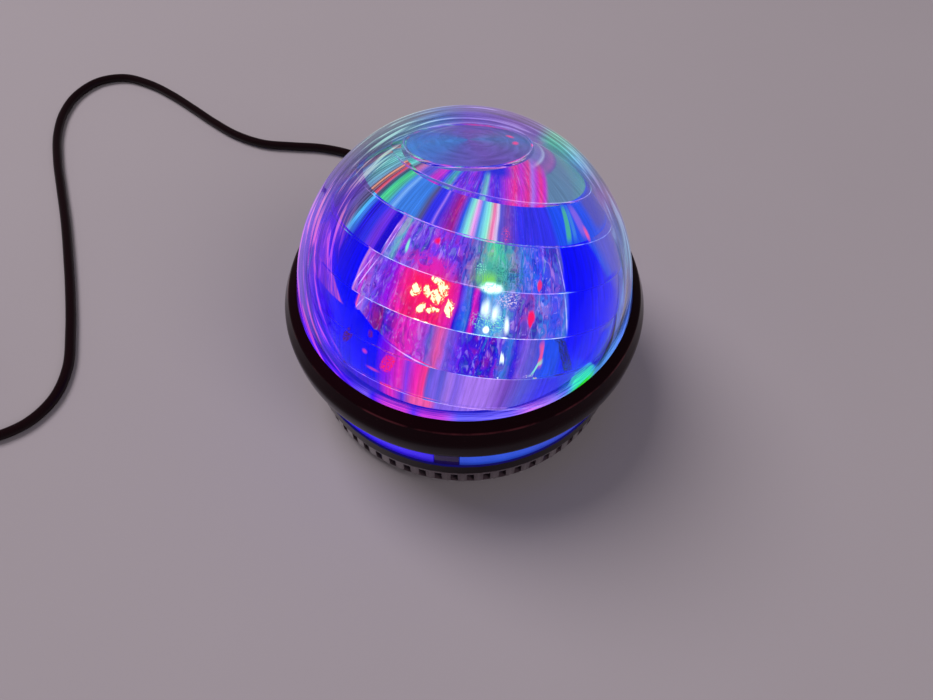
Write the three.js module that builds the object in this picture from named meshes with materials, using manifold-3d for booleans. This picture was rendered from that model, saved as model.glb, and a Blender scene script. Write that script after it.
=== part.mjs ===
// A table-top aurora projector: clear dome over a turning stepped prism, black base with a light band.
// Sizes are millimetres. +Z is up, the table is z = 0 and the spin axis is x = y = 0.
import * as THREE from 'three';
import { mergeVertices } from 'three/addons/utils/BufferGeometryUtils.js';
import Module from 'manifold-3d';

const wasm = await Module();
wasm.setup();

// Fits shared by all pieces
const clearance = 0.3;
const overrun = 1;
const weldDistance = 0.0001;
const largeSteps = 44;
const mediumSteps = 28;
const smallSteps = 14;
const tinySteps = 8;

// Feet, bottom cover and base shell
const footHeight = 2.4;
const footRadius = 7;
const footInset = 7.9;
const footCount = 4;
const coverThickness = 2.2;
const baseWall = 2.2;
const skirtStep = 1.2;
const skirtHeight = 15.5;
const skirtRoundRadial = 6;
const skirtRoundHeight = 5;
const ledgeWidth = 4.5;
const ledgeHeight = 2;
const trimInset = 5.4;
const trimHeight = 7.1;
const trimBevel = 0.5;
const stripSpace = 1.9;
const carrierWall = 1.6;
const carrierTaperHeight = 2.5;

// Vents round the skirt, left out behind the buttons and the power socket
const ventPitchCount = 64;
const ventWidth = 3.2;
const ventHeight = 6;
const ventTopDrop = 4.3;
const rearPanelAngles = [62, 118];

// Light band and its dark window
const glowInset = 6.1;
const glowWall = 1.8;
const glowHeight = 21.2;
const windowAngle = -95.3;
const windowWidth = 10.6;
const stripThickness = 0.7;
const stripWidth = 8;
const stripRise = 7;
const stripSteps = 15;
const receiverWidth = 6;
const receiverHeight = 8;
const receiverDepth = 4;
const receiverRise = 5;

// Deck, pillars and screws
const deckGap = 0.4;
const deckThickness = 2.4;
const pillarRadius = 4.5;
const pillarSink = 0.4;
const pillarCount = 4;
const pillarStartAngle = 45;
const bossSink = 1.1;
const bossHeight = 8;
const screwRadius = 1.2;
const screwHeadRadius = 2.6;
const screwHeadHeight = 1.6;
const screwCrownShare = 0.8;
const screwLength = 8;

// Collar, the widest piece, which the radii of the case, the deck, the dome and the prism follow
const collarRadius = 80;
const collarLipWidth = 7;
const collarWall = 4;
const collarHeight = 19.4;
const collarBottomDrop = 2;
const collarOutlineShares = [[0, 1], [0.3, 0.965], [0.6, 0.86], [0.85, 0.7], [1, 0.5], [0.99, 0.28],
  [0.94, 0.1], [0.85, 0]];
const lugWidth = 12;
const lugHeight = 0.9;
const lugReach = 1.2;
const lugCount = 4;

// Clear dome
const domeCrown = 3.1;
const domeWall = 2.5;
const domeFlangeThickness = 3.1;
const domeSpringHeight = 57;
const domeOuterSteps = 10;
const domeInnerSteps = 7;

// Lamps and the fixed post that carries them
const postRadius = 20.4;
const postBore = 8;
const bushThickness = 1.3;
const bushFlangeWidth = 5.6;
const bushFlangeThickness = 2.3;
const lampPlateReach = 4.6;
const lampPlateThickness = 1.5;
const lampBoardReach = 1.1;
const lampBoardThickness = 1.4;
const lampInset = 6.4;
const lampBaseRadius = 4.2;
const lampBaseHeight = 1.2;
const lampLensRadius = 3;
const lampLensHeight = 2.6;
const lampAngles = { red: 205, white: 295, green: 25, blue: 115 };
const lampScrewAngles = [70, 250];
const postScrewAngles = [0, 180];

// Turning prism, ripple cup and their gear drive
const gearModule = 1.5;
const toothDepthShares = [1.25, 0.85];
const toothWidthShares = [1.55, 0.5];
const gearTeeth = 40;
const pinionTeeth = 12;
const gearThickness = 2.8;
const pinionThickness = 2.8;
const toothBacklash = 0.5;
const turntableRim = 0.3;
const turntableThickness = 2;
const prismGap = 1.9;
const prismWall = 7.8;
const prismStep = 1.6;
const prismTopAngle = 23;
const prismTierAngle = 14;
const prismTierCount = 7;
const prismBoreSteps = 14;
const prismLeanAngle = 27;
const prismLeanDirection = 65;
const cupGap = 15.5;
const cupRise = 30;
const cupWall = 1.8;
const cupSteps = 5;
const motorAngle = 210;
const motorRadius = 12;
const motorHeight = 19;
const motorBossRadius = 4;
const motorShaftRadius = 1.5;
const motorShaftDepth = 8;
const motorEarReach = 6;
const motorEarWidth = 8;
const motorEarThickness = 1.6;
const motorScrewInset = 3.5;

// Circuit board, speaker and socket in the base
const boardSizeShares = [0.654, 0.572];
const boardCentreShares = [-0.3, 0.177];
const boardThickness = 1.6;
const boardPostHeight = 4.4;
const boardPostRadius = 3;
const boardScrewShares = [[-0.42, -0.4], [0.42, -0.4], [0, 0.4]];
const chipSize = [14, 10, 2];
const capacitorRadius = 4;
const capacitorHeight = 9;
const speakerCentreShares = [0.3, -0.245];
const speakerRadiusShare = 0.313;
const speakerFlangeThickness = 1.2;
const basketInset = 11;
const basketHeight = 11;
const basketWall = 1;
const coneWall = 0.8;
const magnetInset = 9;
const magnetHeight = 7;
const grilleHoleRadius = 2.4;
const grilleCircleRadius = 11;
const grilleHoleCount = 8;
const socketAngle = 110;
const socketHeight = 12;
const socketWidth = 9;
const socketLength = 11;
const socketNoseRadius = 4;
const socketBoreRadius = 3.05;
const socketBoreDepth = 10;

// Three push buttons in the rear panel
const buttonAngle = 80;
const buttonHeight = 11.8;
const buttonSpacing = 13;
const buttonRadius = 3.3;
const buttonProud = 1;
const buttonFlangeRadius = 4.5;
const buttonFlangeThickness = 1.2;
const buttonTravel = 0.8;
const keyBoardInset = 18.4;
const keyBoardLength = 40;
const keyBoardThickness = 1.4;
const keyBoardHeight = 13;
const keySize = 6;
const keyDepth = 3.4;
const plungerRadius = 1.7;
const plungerLength = 1.2;

// Power lead: plugs, tube, coil and tie
const cordRadius = 2.5;
const cordSides = 8;
const cordStepLength = 11;
const plugBarrelRadius = 2.75;
const plugBarrelLength = 9;
const plugGripRadius = 4.6;
const plugGripEndShares = [0.9, 0.86];
const plugGripLength = 17;
const plugBootLength = 14;
const plugBootEndRadius = 3.1;
const coilRadius = 32;
const coilTurns = 3.25;
const coilTurnGap = 0.7;
const coilSides = 6;
const coilLoopSteps = 24;
const coilCentre = [-273, -25.4];
const coilStartAngle = -90;
const climbTurns = 0.5;
const tieThickness = 0.6;
const tieWidth = 7;
const tieAngle = 20;
const usbBodySize = [15.6, 30, 7.8];
const usbBodyRound = 2.4;
const usbBootLength = 9;
const usbShellSize = [12, 18.75, 4.5];
const usbShellWall = 0.4;
const usbTongueThickness = 1.8;
// Where the lead lies between the power plug and the coil, point by point
const cordRoute = [[-38.4, 105.5, 11.5], [-43.5, 117.5, 8.6], [-51, 129.5, 5], [-62, 140, 3],
  [-76, 147.3, 2.6], [-92, 151.3, 2.6], [-110, 152.6, 2.6], [-128, 154.5, 2.6], [-146, 162, 2.6],
  [-163, 174, 2.6], [-180, 188, 2.6], [-197, 201.5, 2.6], [-215, 213, 2.6], [-234, 219.5, 2.6],
  [-250, 215, 2.6], [-260, 201, 2.6], [-263, 182, 2.6], [-260, 160, 2.6], [-252, 136, 2.6],
  [-242, 112, 2.6], [-231, 86, 2.6], [-221, 60, 2.6], [-211.5, 34, 2.6], [-203, 8, 2.6],
  [-197.5, -14, 2.6], [-198.5, -31, 2.6], [-206, -44, 2.6], [-218.5, -52, 2.6], [-235, -56, 2.7],
  [-250, -57.2, 3.1]];
const tailLength = 34;

// Radii worked out from the sizes above
const lipRadius = collarRadius - collarLipWidth;
const collarCavityRadius = collarRadius - collarWall;
const deckRadius = collarCavityRadius - deckGap;
const domeRadius = lipRadius - clearance;
const domeRise = domeRadius + domeCrown;
const prismRadius = domeRadius - domeWall - prismGap;
const prismBoreRadius = prismRadius - prismWall;
const turntableRadius = prismRadius + turntableRim;
const cupRadius = prismBoreRadius - cupGap;
const glowRadius = collarRadius - glowInset;
const trimRadius = collarRadius - trimInset;
const skirtRadius = trimRadius - skirtStep;
const carrierOuterRadius = glowRadius - glowWall - stripSpace;
const carrierInnerRadius = carrierOuterRadius - carrierWall;
const coverRadius = skirtRadius - skirtRoundRadial - baseWall - clearance;
const pillarCircleRadius = carrierInnerRadius - pillarRadius + pillarSink;
const bossCircleRadius = coverRadius - ledgeWidth - pillarRadius + bossSink;
const footCircleRadius = coverRadius - footRadius - footInset;
const keyBoardDistance = skirtRadius - keyBoardInset;
const boardSize = boardSizeShares.map((share) => share * skirtRadius);
const boardCentre = boardCentreShares.map((share) => share * skirtRadius);
const speakerCentre = speakerCentreShares.map((share) => share * skirtRadius);
const speakerRadius = speakerRadiusShare * skirtRadius;
const basketTopRadius = speakerRadius - basketInset;
const magnetRadius = speakerRadius - magnetInset;
const bushFlangeRadius = postRadius + bushFlangeWidth;
const lampPlateRadius = postRadius + lampPlateReach;
const lampBoardRadius = postRadius + lampBoardReach;
const lampCircleRadius = postRadius - lampInset;
const postScrewCircleRadius = lampCircleRadius;
const motorEarLength = 2 * (motorRadius + motorEarReach);
const motorScrewSpacing = motorEarLength - 2 * motorScrewInset;
const coilPitch = 2 * cordRadius + coilTurnGap;

// Heights worked out from the sizes above
const baseBottom = footHeight;
const coverTop = baseBottom + coverThickness;
const ledgeTop = coverTop + ledgeHeight;
const skirtTop = baseBottom + skirtHeight;
const trimTop = skirtTop + trimHeight;
const deckBottom = trimTop + glowHeight;
const deckTop = deckBottom + deckThickness;
const collarBottom = deckBottom - collarBottomDrop;
const flangeBottom = deckTop + clearance;
const flangeTop = flangeBottom + domeFlangeThickness;
const ventTop = skirtTop - ventTopDrop;
const bushTop = deckTop + bushFlangeThickness;
const gearBottom = bushTop + clearance;
const turntableBottom = gearBottom + gearThickness;
const turntableTop = turntableBottom + turntableThickness;
const plateBottom = turntableTop + clearance;
const lampBoardBottom = plateBottom + lampPlateThickness;
const lampBottom = lampBoardBottom + lampBoardThickness;
const bushOuterRadius = postRadius + clearance + bushThickness;
const hubRadius = bushOuterRadius + clearance;
const gearPitchRadius = gearModule * gearTeeth / 2;
const pinionPitchRadius = gearModule * pinionTeeth / 2;
const motorDistance = gearPitchRadius + pinionPitchRadius;
const pinionTop = turntableBottom - clearance;
const pinionBottom = pinionTop - pinionThickness;
const motorBossTop = pinionBottom - clearance;
const boardBottom = coverTop + boardPostHeight;
const screwHoleRadius = screwRadius + clearance;
const coilLayerBottom = tieThickness + clearance + cordRadius;
const coilLayerTop = coilLayerBottom + coilPitch;

const part = new THREE.Group();

const radians = (degrees) => degrees * Math.PI / 180;

// A closed surface with shared corners, no empty triangles and its faces pointing out
function tidied(source) {
  const bare = source.clone();
  bare.deleteAttribute('normal');
  bare.deleteAttribute('uv');
  const merged = mergeVertices(bare, weldDistance);
  const at = merged.attributes.position;
  const kept = [];
  let volume = 0;
  const [a, b, c] = [new THREE.Vector3(), new THREE.Vector3(), new THREE.Vector3()];
  for (let i = 0; i < merged.index.count; i += 3) {
    const corner = [merged.index.getX(i), merged.index.getX(i + 1), merged.index.getX(i + 2)];
    if (new Set(corner).size < 3) continue;
    kept.push(...corner);
    a.fromBufferAttribute(at, corner[0]);
    b.fromBufferAttribute(at, corner[1]);
    c.fromBufferAttribute(at, corner[2]);
    volume += a.dot(b.cross(c));
  }
  merged.setIndex(volume < 0 ? kept.reverse() : kept);
  return merged;
}

function toSolid(geometry) {
  const closed = tidied(geometry);
  return new wasm.Manifold(new wasm.Mesh({
    numProp: 3,
    vertProperties: closed.attributes.position.array,
    triVerts: new Uint32Array(closed.index.array),
  }));
}

function toGeometry(solid) {
  const mesh = solid.getMesh();
  const geometry = new THREE.BufferGeometry();
  geometry.setAttribute('position', new THREE.BufferAttribute(mesh.vertProperties, 3));
  geometry.setIndex(new THREE.BufferAttribute(mesh.triVerts, 1));
  return geometry;
}

function joined(first, ...others) {
  return toGeometry(others.reduce((solid, other) => solid.add(toSolid(other)), toSolid(first)));
}

function cut(first, ...cutters) {
  return toGeometry(cutters.reduce((solid, cutter) => solid.subtract(toSolid(cutter)), toSolid(first)));
}

// Turned shapes stand on +Z; a profile is a list of [radius, height]
function turned(profile, steps) {
  const points = profile.map(([radius, height]) => new THREE.Vector2(radius, height));
  return new THREE.LatheGeometry(points, steps).rotateX(Math.PI / 2);
}

function disc(radius, bottom, top, steps = smallSteps) {
  return turned([[0, bottom], [radius, bottom], [radius, top], [0, top]], steps);
}

function washer(inner, outer, bottom, top, steps = mediumSteps) {
  return turned([[inner, bottom], [outer, bottom], [outer, top], [inner, top], [inner, bottom]], steps);
}

function block(width, depth, height) {
  return new THREE.BoxGeometry(width, depth, height);
}

function extruded(shape, bottom, top, curveSteps = largeSteps / 2) {
  const options = { depth: top - bottom, bevelEnabled: false, curveSegments: curveSteps };
  return new THREE.ExtrudeGeometry(shape, options).translate(0, 0, bottom);
}

// A turned shape laid down to point along +X, then moved sideways and up
function pointingOut(geometry, sideways = 0, up = 0) {
  return geometry.rotateY(Math.PI / 2).translate(0, sideways, up);
}

function turnedTo(geometry, angle) {
  return geometry.rotateZ(radians(angle));
}

function placeOnCircle(radius, angle) {
  return [radius * Math.cos(radians(angle)), radius * Math.sin(radians(angle))];
}

function evenAngles(count, start) {
  return Array.from({ length: count }, (unused, index) => start + index * 360 / count);
}

function finish(color, roughness, metalness = 0, opacity = 1) {
  return { color, roughness, metalness, opacity, transparent: opacity < 1 };
}

const glossBlack = finish(0x0d0a0c, 0.15);
const mattBlack = finish(0x141314, 0.6);
const clearPlastic = finish(0xe8ecff, 0.05, 0, 0.3);
const whitePlastic = finish(0xdcdce0, 0.5);
const steel = finish(0x9a9ca0, 0.35, 1);
const darkMetal = finish(0x3a3c40, 0.4, 0.8);
const boardGreen = finish(0x1d5a35, 0.5);

function add(name, geometry, look, group = part) {
  const mesh = new THREE.Mesh(tidied(geometry), new THREE.MeshStandardMaterial(look));
  mesh.name = name;
  group.add(mesh);
  return mesh;
}

// Skirt radius at a height: upright above, rounded under at the bottom
function skirtRadiusAt(height) {
  const below = Math.max(0, baseBottom + skirtRoundHeight - height) / skirtRoundHeight;
  return skirtRadius - skirtRoundRadial * (1 - Math.sqrt(Math.max(0, 1 - below * below)));
}

function spread(from, to, count) {
  return Array.from({ length: count + 1 }, (unused, index) => from + (to - from) * index / count);
}

function baseShellProfile() {
  const roundTop = baseBottom + skirtRoundHeight;
  const roundSteps = 2;
  const outside = spread(baseBottom, roundTop, roundSteps).map((height) => [skirtRadiusAt(height), height]);
  const coverSeat = coverRadius + clearance;
  const ledgeInner = coverRadius - ledgeWidth;
  return [...outside,
    [skirtRadius, skirtTop], [trimRadius, skirtTop], [trimRadius, trimTop - trimBevel],
    [trimRadius - trimBevel, trimTop], [carrierOuterRadius, trimTop],
    [carrierOuterRadius, deckBottom], [carrierInnerRadius, deckBottom],
    [carrierInnerRadius, skirtTop + carrierTaperHeight], [skirtRadius - baseWall, skirtTop],
    [skirtRadius - baseWall, roundTop], [skirtRadiusAt(ledgeTop) - baseWall, ledgeTop],
    [ledgeInner, ledgeTop], [ledgeInner, coverTop], [coverSeat, coverTop], [coverSeat, baseBottom],
    outside[0]];
}

function ventCutters() {
  const depth = baseWall + overrun;
  const [from, to] = rearPanelAngles;
  return evenAngles(ventPitchCount, 180 / ventPitchCount)
    .filter((angle) => angle < from || angle > to)
    .map((angle) => turnedTo(block(2 * depth, ventWidth, ventHeight)
      .translate(skirtRadius, 0, ventTop - ventHeight / 2), angle));
}

function radialHole(radius, from, to, angle, sideways, up) {
  return turnedTo(pointingOut(disc(radius, from, to), sideways, up), angle);
}

// A plain upright pin or hole of few sides
function pillar([x, y], radius, bottom, top) {
  return disc(radius, bottom, top, tinySteps).translate(x, y, 0);
}

// Base shell: skirt, trim ring, band carrier, screw pillars and the holes of the rear panel
function buildBaseShell() {
  const angles = evenAngles(pillarCount, pillarStartAngle);
  const bossTop = coverTop + bossHeight;
  const pillars = angles.flatMap((angle) => [
    pillar(placeOnCircle(pillarCircleRadius, angle), pillarRadius, coverTop, deckBottom),
    pillar(placeOnCircle(bossCircleRadius, angle), pillarRadius, coverTop, bossTop)]);
  const screwHoles = angles.flatMap((angle) => [
    pillar(placeOnCircle(pillarCircleRadius, angle), screwHoleRadius, deckBottom - screwLength,
      deckBottom + overrun),
    pillar(placeOnCircle(bossCircleRadius, angle), screwHoleRadius, coverTop - overrun,
      bossTop + overrun)]);
  const outside = trimRadius + overrun;
  const buttonHoles = [-1, 0, 1].map((place) => radialHole(buttonRadius + clearance, bossCircleRadius,
    outside, buttonAngle, place * buttonSpacing, buttonHeight));
  const socketHole = radialHole(socketNoseRadius + clearance, bossCircleRadius, outside, socketAngle, 0,
    socketHeight);
  const notchHeight = receiverHeight + clearance;
  const notch = turnedTo(block(2 * (carrierWall + overrun), receiverWidth + 2 * clearance, notchHeight)
    .translate(carrierInnerRadius, 0, trimTop + receiverRise + notchHeight / 2), windowAngle);
  const shell = joined(turned(baseShellProfile(), ventPitchCount), ...pillars);
  const holes = [...screwHoles, ...buttonHoles, socketHole, notch, ...ventCutters()];
  add('base_shell', cut(shell, ...holes), glossBlack);
}

// Bottom cover with board posts, a round speaker grille and countersunk screw holes
function buildBottomCover() {
  const headSeat = baseBottom + screwHeadHeight / 2;
  const screwHoles = evenAngles(pillarCount, pillarStartAngle).flatMap((angle) => [
    pillar(placeOnCircle(bossCircleRadius, angle), screwHoleRadius, baseBottom - overrun, coverTop + overrun),
    pillar(placeOnCircle(bossCircleRadius, angle), screwHeadRadius + clearance, baseBottom - overrun,
      headSeat + clearance)]);
  const grille = evenAngles(grilleHoleCount, 0).map((angle) => {
    const [x, y] = placeOnCircle(grilleCircleRadius, angle);
    return disc(grilleHoleRadius, baseBottom - overrun, coverTop + overrun, tinySteps)
      .translate(speakerCentre[0] + x, speakerCentre[1] + y, 0);
  });
  const posts = boardScrewPlaces().map((place) => pillar(place, boardPostRadius,
    coverTop - coverThickness / 2, boardBottom));
  const postHoles = boardScrewPlaces().map((place) => pillar(place, screwHoleRadius, coverTop,
    boardBottom + overrun));
  const plate = joined(disc(coverRadius, baseBottom, coverTop, largeSteps), ...posts);
  add('bottom_cover', cut(plate, ...screwHoles, ...grille, ...postHoles), mattBlack);
  evenAngles(footCount, 0).forEach((angle, index) => {
    const [x, y] = placeOnCircle(footCircleRadius, angle);
    const rim = footHeight / 4;
    const foot = add(`foot_${index + 1}`, turned([[0, 0], [footRadius - rim, 0], [footRadius, rim],
      [footRadius, footHeight], [0, footHeight]], smallSteps), mattBlack);
    foot.position.set(x, y, 0);
  });
}

// A pan-head screw whose head sits above z = 0 and whose shank goes down
function screwGeometry(length) {
  return turned([[0, -length + clearance], [screwRadius, -length + clearance], [screwRadius, 0],
    [screwHeadRadius, 0], [screwHeadRadius * screwCrownShare, screwHeadHeight],
    [0, screwHeadHeight]], tinySteps);
}

function addScrew(name, [x, y], height, pointsUp = false, length = screwLength) {
  const screw = add(name, screwGeometry(length), steel);
  screw.position.set(x, y, height);
  if (pointsUp) screw.rotation.x = Math.PI;
}

function buildCaseScrews() {
  const headSeat = baseBottom + screwHeadHeight / 2;
  evenAngles(pillarCount, pillarStartAngle).forEach((angle, index) => {
    const bottom = add(`bottom_screw_${index + 1}`, bottomScrewGeometry(screwLength), steel);
    bottom.position.set(...placeOnCircle(bossCircleRadius, angle), headSeat);
    addScrew(`deck_screw_${index + 1}`, placeOnCircle(pillarCircleRadius, angle), deckTop);
  });
}

// A flush screw seen from below: its head is under z = 0 and its shank goes up
function bottomScrewGeometry(length) {
  return turned([[0, -screwHeadHeight / 2], [screwHeadRadius, -screwHeadHeight / 2], [screwHeadRadius, 0],
    [screwRadius, 0], [screwRadius, length - clearance], [0, length - clearance]], tinySteps);
}

// A sector of a ring between two angles, as a closed outline
function ringSector(inner, outer, fromAngle, toAngle) {
  const shape = new THREE.Shape();
  shape.absarc(0, 0, outer, radians(fromAngle), radians(toAngle), false);
  shape.absarc(0, 0, inner, radians(toAngle), radians(fromAngle), true);
  return shape;
}

// Light band with its gap, the dark window in the gap, the lamp strip and the remote receiver
function buildLightBand() {
  const inner = glowRadius - glowWall;
  const halfWindow = windowWidth / 2 / glowRadius * 180 / Math.PI;
  const halfGap = halfWindow + clearance / glowRadius * 180 / Math.PI;
  const fromAngle = windowAngle + halfGap;
  const toAngle = windowAngle + 360 - halfGap;
  add('glow_ring', extruded(ringSector(inner, glowRadius, fromAngle, toAngle), trimTop, deckBottom),
    finish(0x3355ff, 0.3));
  add('window', extruded(ringSector(inner, glowRadius, windowAngle - halfWindow, windowAngle + halfWindow),
    trimTop, deckBottom, tinySteps), finish(0x1a0830, 0.1));
  const stripInner = carrierOuterRadius + (inner - carrierOuterRadius - stripThickness) / 2;
  const stripBottom = trimTop + stripRise;
  add('band_lights', extruded(ringSector(stripInner, stripInner + stripThickness, fromAngle + halfGap,
    toAngle - halfGap), stripBottom, stripBottom + stripWidth, stripSteps), whitePlastic);
  const receiver = add('remote_receiver', block(receiverDepth, receiverWidth, receiverHeight), mattBlack);
  receiver.position.set(...placeOnCircle(carrierOuterRadius - receiverDepth / 2, windowAngle),
    trimTop + receiverRise + receiverHeight / 2);
  receiver.rotation.z = radians(windowAngle);
}

// Deck plate that closes the base and carries the post, the motor and the dome's flange
function buildDeck() {
  const [motorX, motorY] = placeOnCircle(motorDistance, motorAngle);
  const holes = [disc(postBore, deckBottom - overrun, deckTop + overrun),
    disc(motorBossRadius + clearance, deckBottom - overrun, deckTop + overrun).translate(motorX, motorY, 0)];
  const screwPlaces = [
    ...evenAngles(pillarCount, pillarStartAngle).map((angle) => placeOnCircle(pillarCircleRadius, angle)),
    ...motorScrewPlaces(),
    ...postScrewAngles.map((angle) => placeOnCircle(postScrewCircleRadius, angle))];
  screwPlaces.forEach((place) => holes.push(pillar(place, screwHoleRadius, deckBottom - overrun,
    deckTop + overrun)));
  add('deck_plate', cut(disc(deckRadius, deckBottom, deckTop, largeSteps), ...holes), mattBlack);
}

// Collar: the black bezel that holds the dome's flange down and snaps under the deck
function buildCollar() {
  const outline = collarOutlineShares.map(([across, up]) => [
    lipRadius + (collarRadius - lipRadius) * across, collarBottom + collarHeight * up]);
  const ledge = flangeTop + clearance;
  const ring = turned([...outline, [collarCavityRadius, collarBottom], [collarCavityRadius, ledge],
    [lipRadius, ledge], outline[0]], largeSteps);
  const lugTop = deckBottom - clearance;
  const lugs = evenAngles(lugCount, 0).map((angle) => turnedTo(block(lugReach + overrun, lugWidth, lugHeight)
    .translate(collarCavityRadius + (overrun - lugReach) / 2, 0, lugTop - lugHeight / 2), angle));
  add('collar', joined(ring, ...lugs), glossBlack);
}

function domeArc(radius, rise, steps) {
  return spread(0, 1, steps).map((share) => {
    const angle = share * Math.PI / 2;
    return [share < 1 ? radius * Math.cos(angle) : 0, domeSpringHeight + rise * Math.sin(angle)];
  });
}

function buildDome() {
  const innerRadius = domeRadius - domeWall;
  const inside = domeArc(innerRadius, domeRise - domeWall, domeInnerSteps).reverse();
  add('dome_cover', turned([...inside, [innerRadius, flangeBottom], [deckRadius, flangeBottom],
    [deckRadius, flangeTop], [domeRadius, flangeTop],
    ...domeArc(domeRadius, domeRise, domeOuterSteps)], largeSteps), clearPlastic);
}

// Fixed post, wear bush, heat plate and lamp board with four lamps
function buildLampPost() {
  const postHoles = postScrewAngles.map((angle) => pillar(placeOnCircle(postScrewCircleRadius, angle),
    screwHoleRadius, deckTop - overrun, deckTop + screwLength / 2 + overrun));
  const lampScrewPlaces = lampScrewAngles.map((angle) => placeOnCircle(postScrewCircleRadius, angle));
  const plateHoles = (bottom, top) => lampScrewPlaces.map((place) => pillar(place, screwHoleRadius,
    bottom - overrun, top + overrun));
  const topHoles = lampScrewPlaces.map((place) => pillar(place, screwHoleRadius,
    plateBottom - screwLength / 2, plateBottom + overrun));
  add('lamp_post', cut(washer(postBore, postRadius, deckTop, plateBottom), ...postHoles, ...topHoles),
    darkMetal);
  const sleeveInner = postRadius + clearance;
  const sleeveTop = plateBottom - clearance;
  add('hub_bush', turned([[sleeveInner, deckTop], [bushFlangeRadius, deckTop], [bushFlangeRadius, bushTop],
    [bushOuterRadius, bushTop], [bushOuterRadius, sleeveTop], [sleeveInner, sleeveTop],
    [sleeveInner, deckTop]], mediumSteps), whitePlastic);
  add('heat_plate', cut(washer(postBore, lampPlateRadius, plateBottom, lampBoardBottom),
    ...plateHoles(plateBottom, lampBoardBottom)), steel);
  add('lamp_board', cut(disc(lampBoardRadius, lampBoardBottom, lampBottom, mediumSteps),
    ...plateHoles(lampBoardBottom, lampBottom)), whitePlastic);
  lampScrewPlaces.forEach((place, index) => addScrew(`lamp_screw_${index + 1}`, place, lampBottom, false,
    lampPlateThickness + lampBoardThickness + screwLength / 2));
  postScrewAngles.forEach((angle, index) => addScrew(`post_screw_${index + 1}`,
    placeOnCircle(postScrewCircleRadius, angle), deckBottom, true, deckThickness + screwLength / 2));
  buildLamps();
}

function buildLamps() {
  const looks = { red: 0xff2020, white: 0xf4f4ff, green: 0x20ff60, blue: 0x2040ff };
  const lens = spread(0, 1, 3).map((share) => [share < 1 ? lampLensRadius * Math.cos(share * Math.PI / 2) : 0,
    lampBaseHeight + lampLensHeight * Math.sin(share * Math.PI / 2)]);
  for (const [colour, angle] of Object.entries(lampAngles)) {
    const lamp = add(`${colour}_lamp`, turned([[0, 0], [lampBaseRadius, 0], [lampBaseRadius, lampBaseHeight],
      ...lens], smallSteps), finish(looks[colour], 0.2));
    lamp.position.set(...placeOnCircle(lampCircleRadius, angle), lampBottom);
  }
}

// Straight-flanked teeth round a circle, one of them centred on the start angle
function gearOutline(teeth, startAngle) {
  const pitchRadius = gearModule * teeth / 2;
  const root = pitchRadius - toothDepthShares[0] * gearModule;
  const tip = pitchRadius + toothDepthShares[1] * gearModule;
  const pitch = 2 * Math.PI / teeth;
  const halfAtPitch = (Math.PI * gearModule / 2 - toothBacklash) / 2 / pitchRadius;
  const [rootShare, tipShare] = toothWidthShares;
  const corners = [[root, -rootShare], [tip, -tipShare], [tip, tipShare], [root, rootShare]];
  const points = [];
  for (let tooth = 0; tooth < teeth; tooth += 1) {
    const centre = radians(startAngle) + tooth * pitch;
    for (const [radius, turn] of corners) {
      const angle = centre + turn * halfAtPitch;
      points.push(new THREE.Vector2(radius * Math.cos(angle), radius * Math.sin(angle)));
    }
  }
  return new THREE.Shape(points);
}

// Turntable: a thin disc with the hub gear under it, turning on the bush
function buildTurntable(rotor) {
  const outline = gearOutline(gearTeeth, motorAngle);
  const gear = extruded(outline, gearBottom, turntableBottom + turntableThickness / 2);
  const plate = disc(turntableRadius, turntableBottom, turntableTop, largeSteps);
  const bore = disc(hubRadius, gearBottom - overrun, turntableTop + overrun, mediumSteps);
  add('turntable', cut(joined(plate, gear), bore), whitePlastic, rotor);
}

// Stepped prism: tiers round a leaning axis, cut level where it stands on the turntable
function buildPrism(rotor) {
  const tierPoint = (angle, radius) => [radius * Math.sin(radians(angle)), radius * Math.cos(radians(angle))];
  const topEdge = tierPoint(prismTopAngle, prismRadius);
  const profile = [[0, topEdge[1]], topEdge];
  for (let tier = 0; tier < prismTierCount; tier += 1) {
    const upper = prismTopAngle + tier * prismTierAngle;
    profile.push(tierPoint(upper, prismRadius - prismStep), tierPoint(upper + prismTierAngle, prismRadius));
  }
  const skirtEnd = profile[profile.length - 1];
  profile.push([0, skirtEnd[1]]);
  const [leanX, leanY] = placeOnCircle(1, prismLeanDirection);
  const lean = new THREE.Quaternion().setFromAxisAngle(new THREE.Vector3(-leanY, leanX, 0),
    radians(prismLeanAngle));
  const tiers = turned(profile, mediumSteps).applyQuaternion(lean);
  const bore = turned(spread(-1, 1, prismBoreSteps).map((share) => [
    Math.abs(share) < 1 ? prismBoreRadius * Math.cos(share * Math.PI / 2) : 0,
    prismBoreRadius * Math.sin(share * Math.PI / 2)]), mediumSteps);
  const reach = 2 * prismRadius + overrun;
  const below = block(2 * reach, 2 * reach, reach)
    .translate(0, 0, turntableTop - domeSpringHeight - reach / 2);
  const prism = add('prism_dome', cut(tiers, bore, below), clearPlastic, rotor);
  prism.position.z = domeSpringHeight;
}

// Ripple cup: the small lens over the lamps
function buildRippleCup(rotor) {
  const arc = (radius, rise) => spread(0, 1, cupSteps).map((share) => [
    share < 1 ? radius * Math.cos(share * Math.PI / 2) : 0, rise * Math.sin(share * Math.PI / 2)]);
  const cup = add('ripple_cup', turned([...arc(cupRadius - cupWall, cupRise - cupWall).reverse(),
    ...arc(cupRadius, cupRise)], mediumSteps), clearPlastic, rotor);
  cup.position.z = turntableTop;
}

function motorScrewPlaces() {
  const [x, y] = placeOnCircle(motorDistance, motorAngle);
  return [-1, 1].map((side) => {
    const [alongX, alongY] = placeOnCircle(side * motorScrewSpacing / 2, motorAngle + 90);
    return [x + alongX, y + alongY];
  });
}

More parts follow.
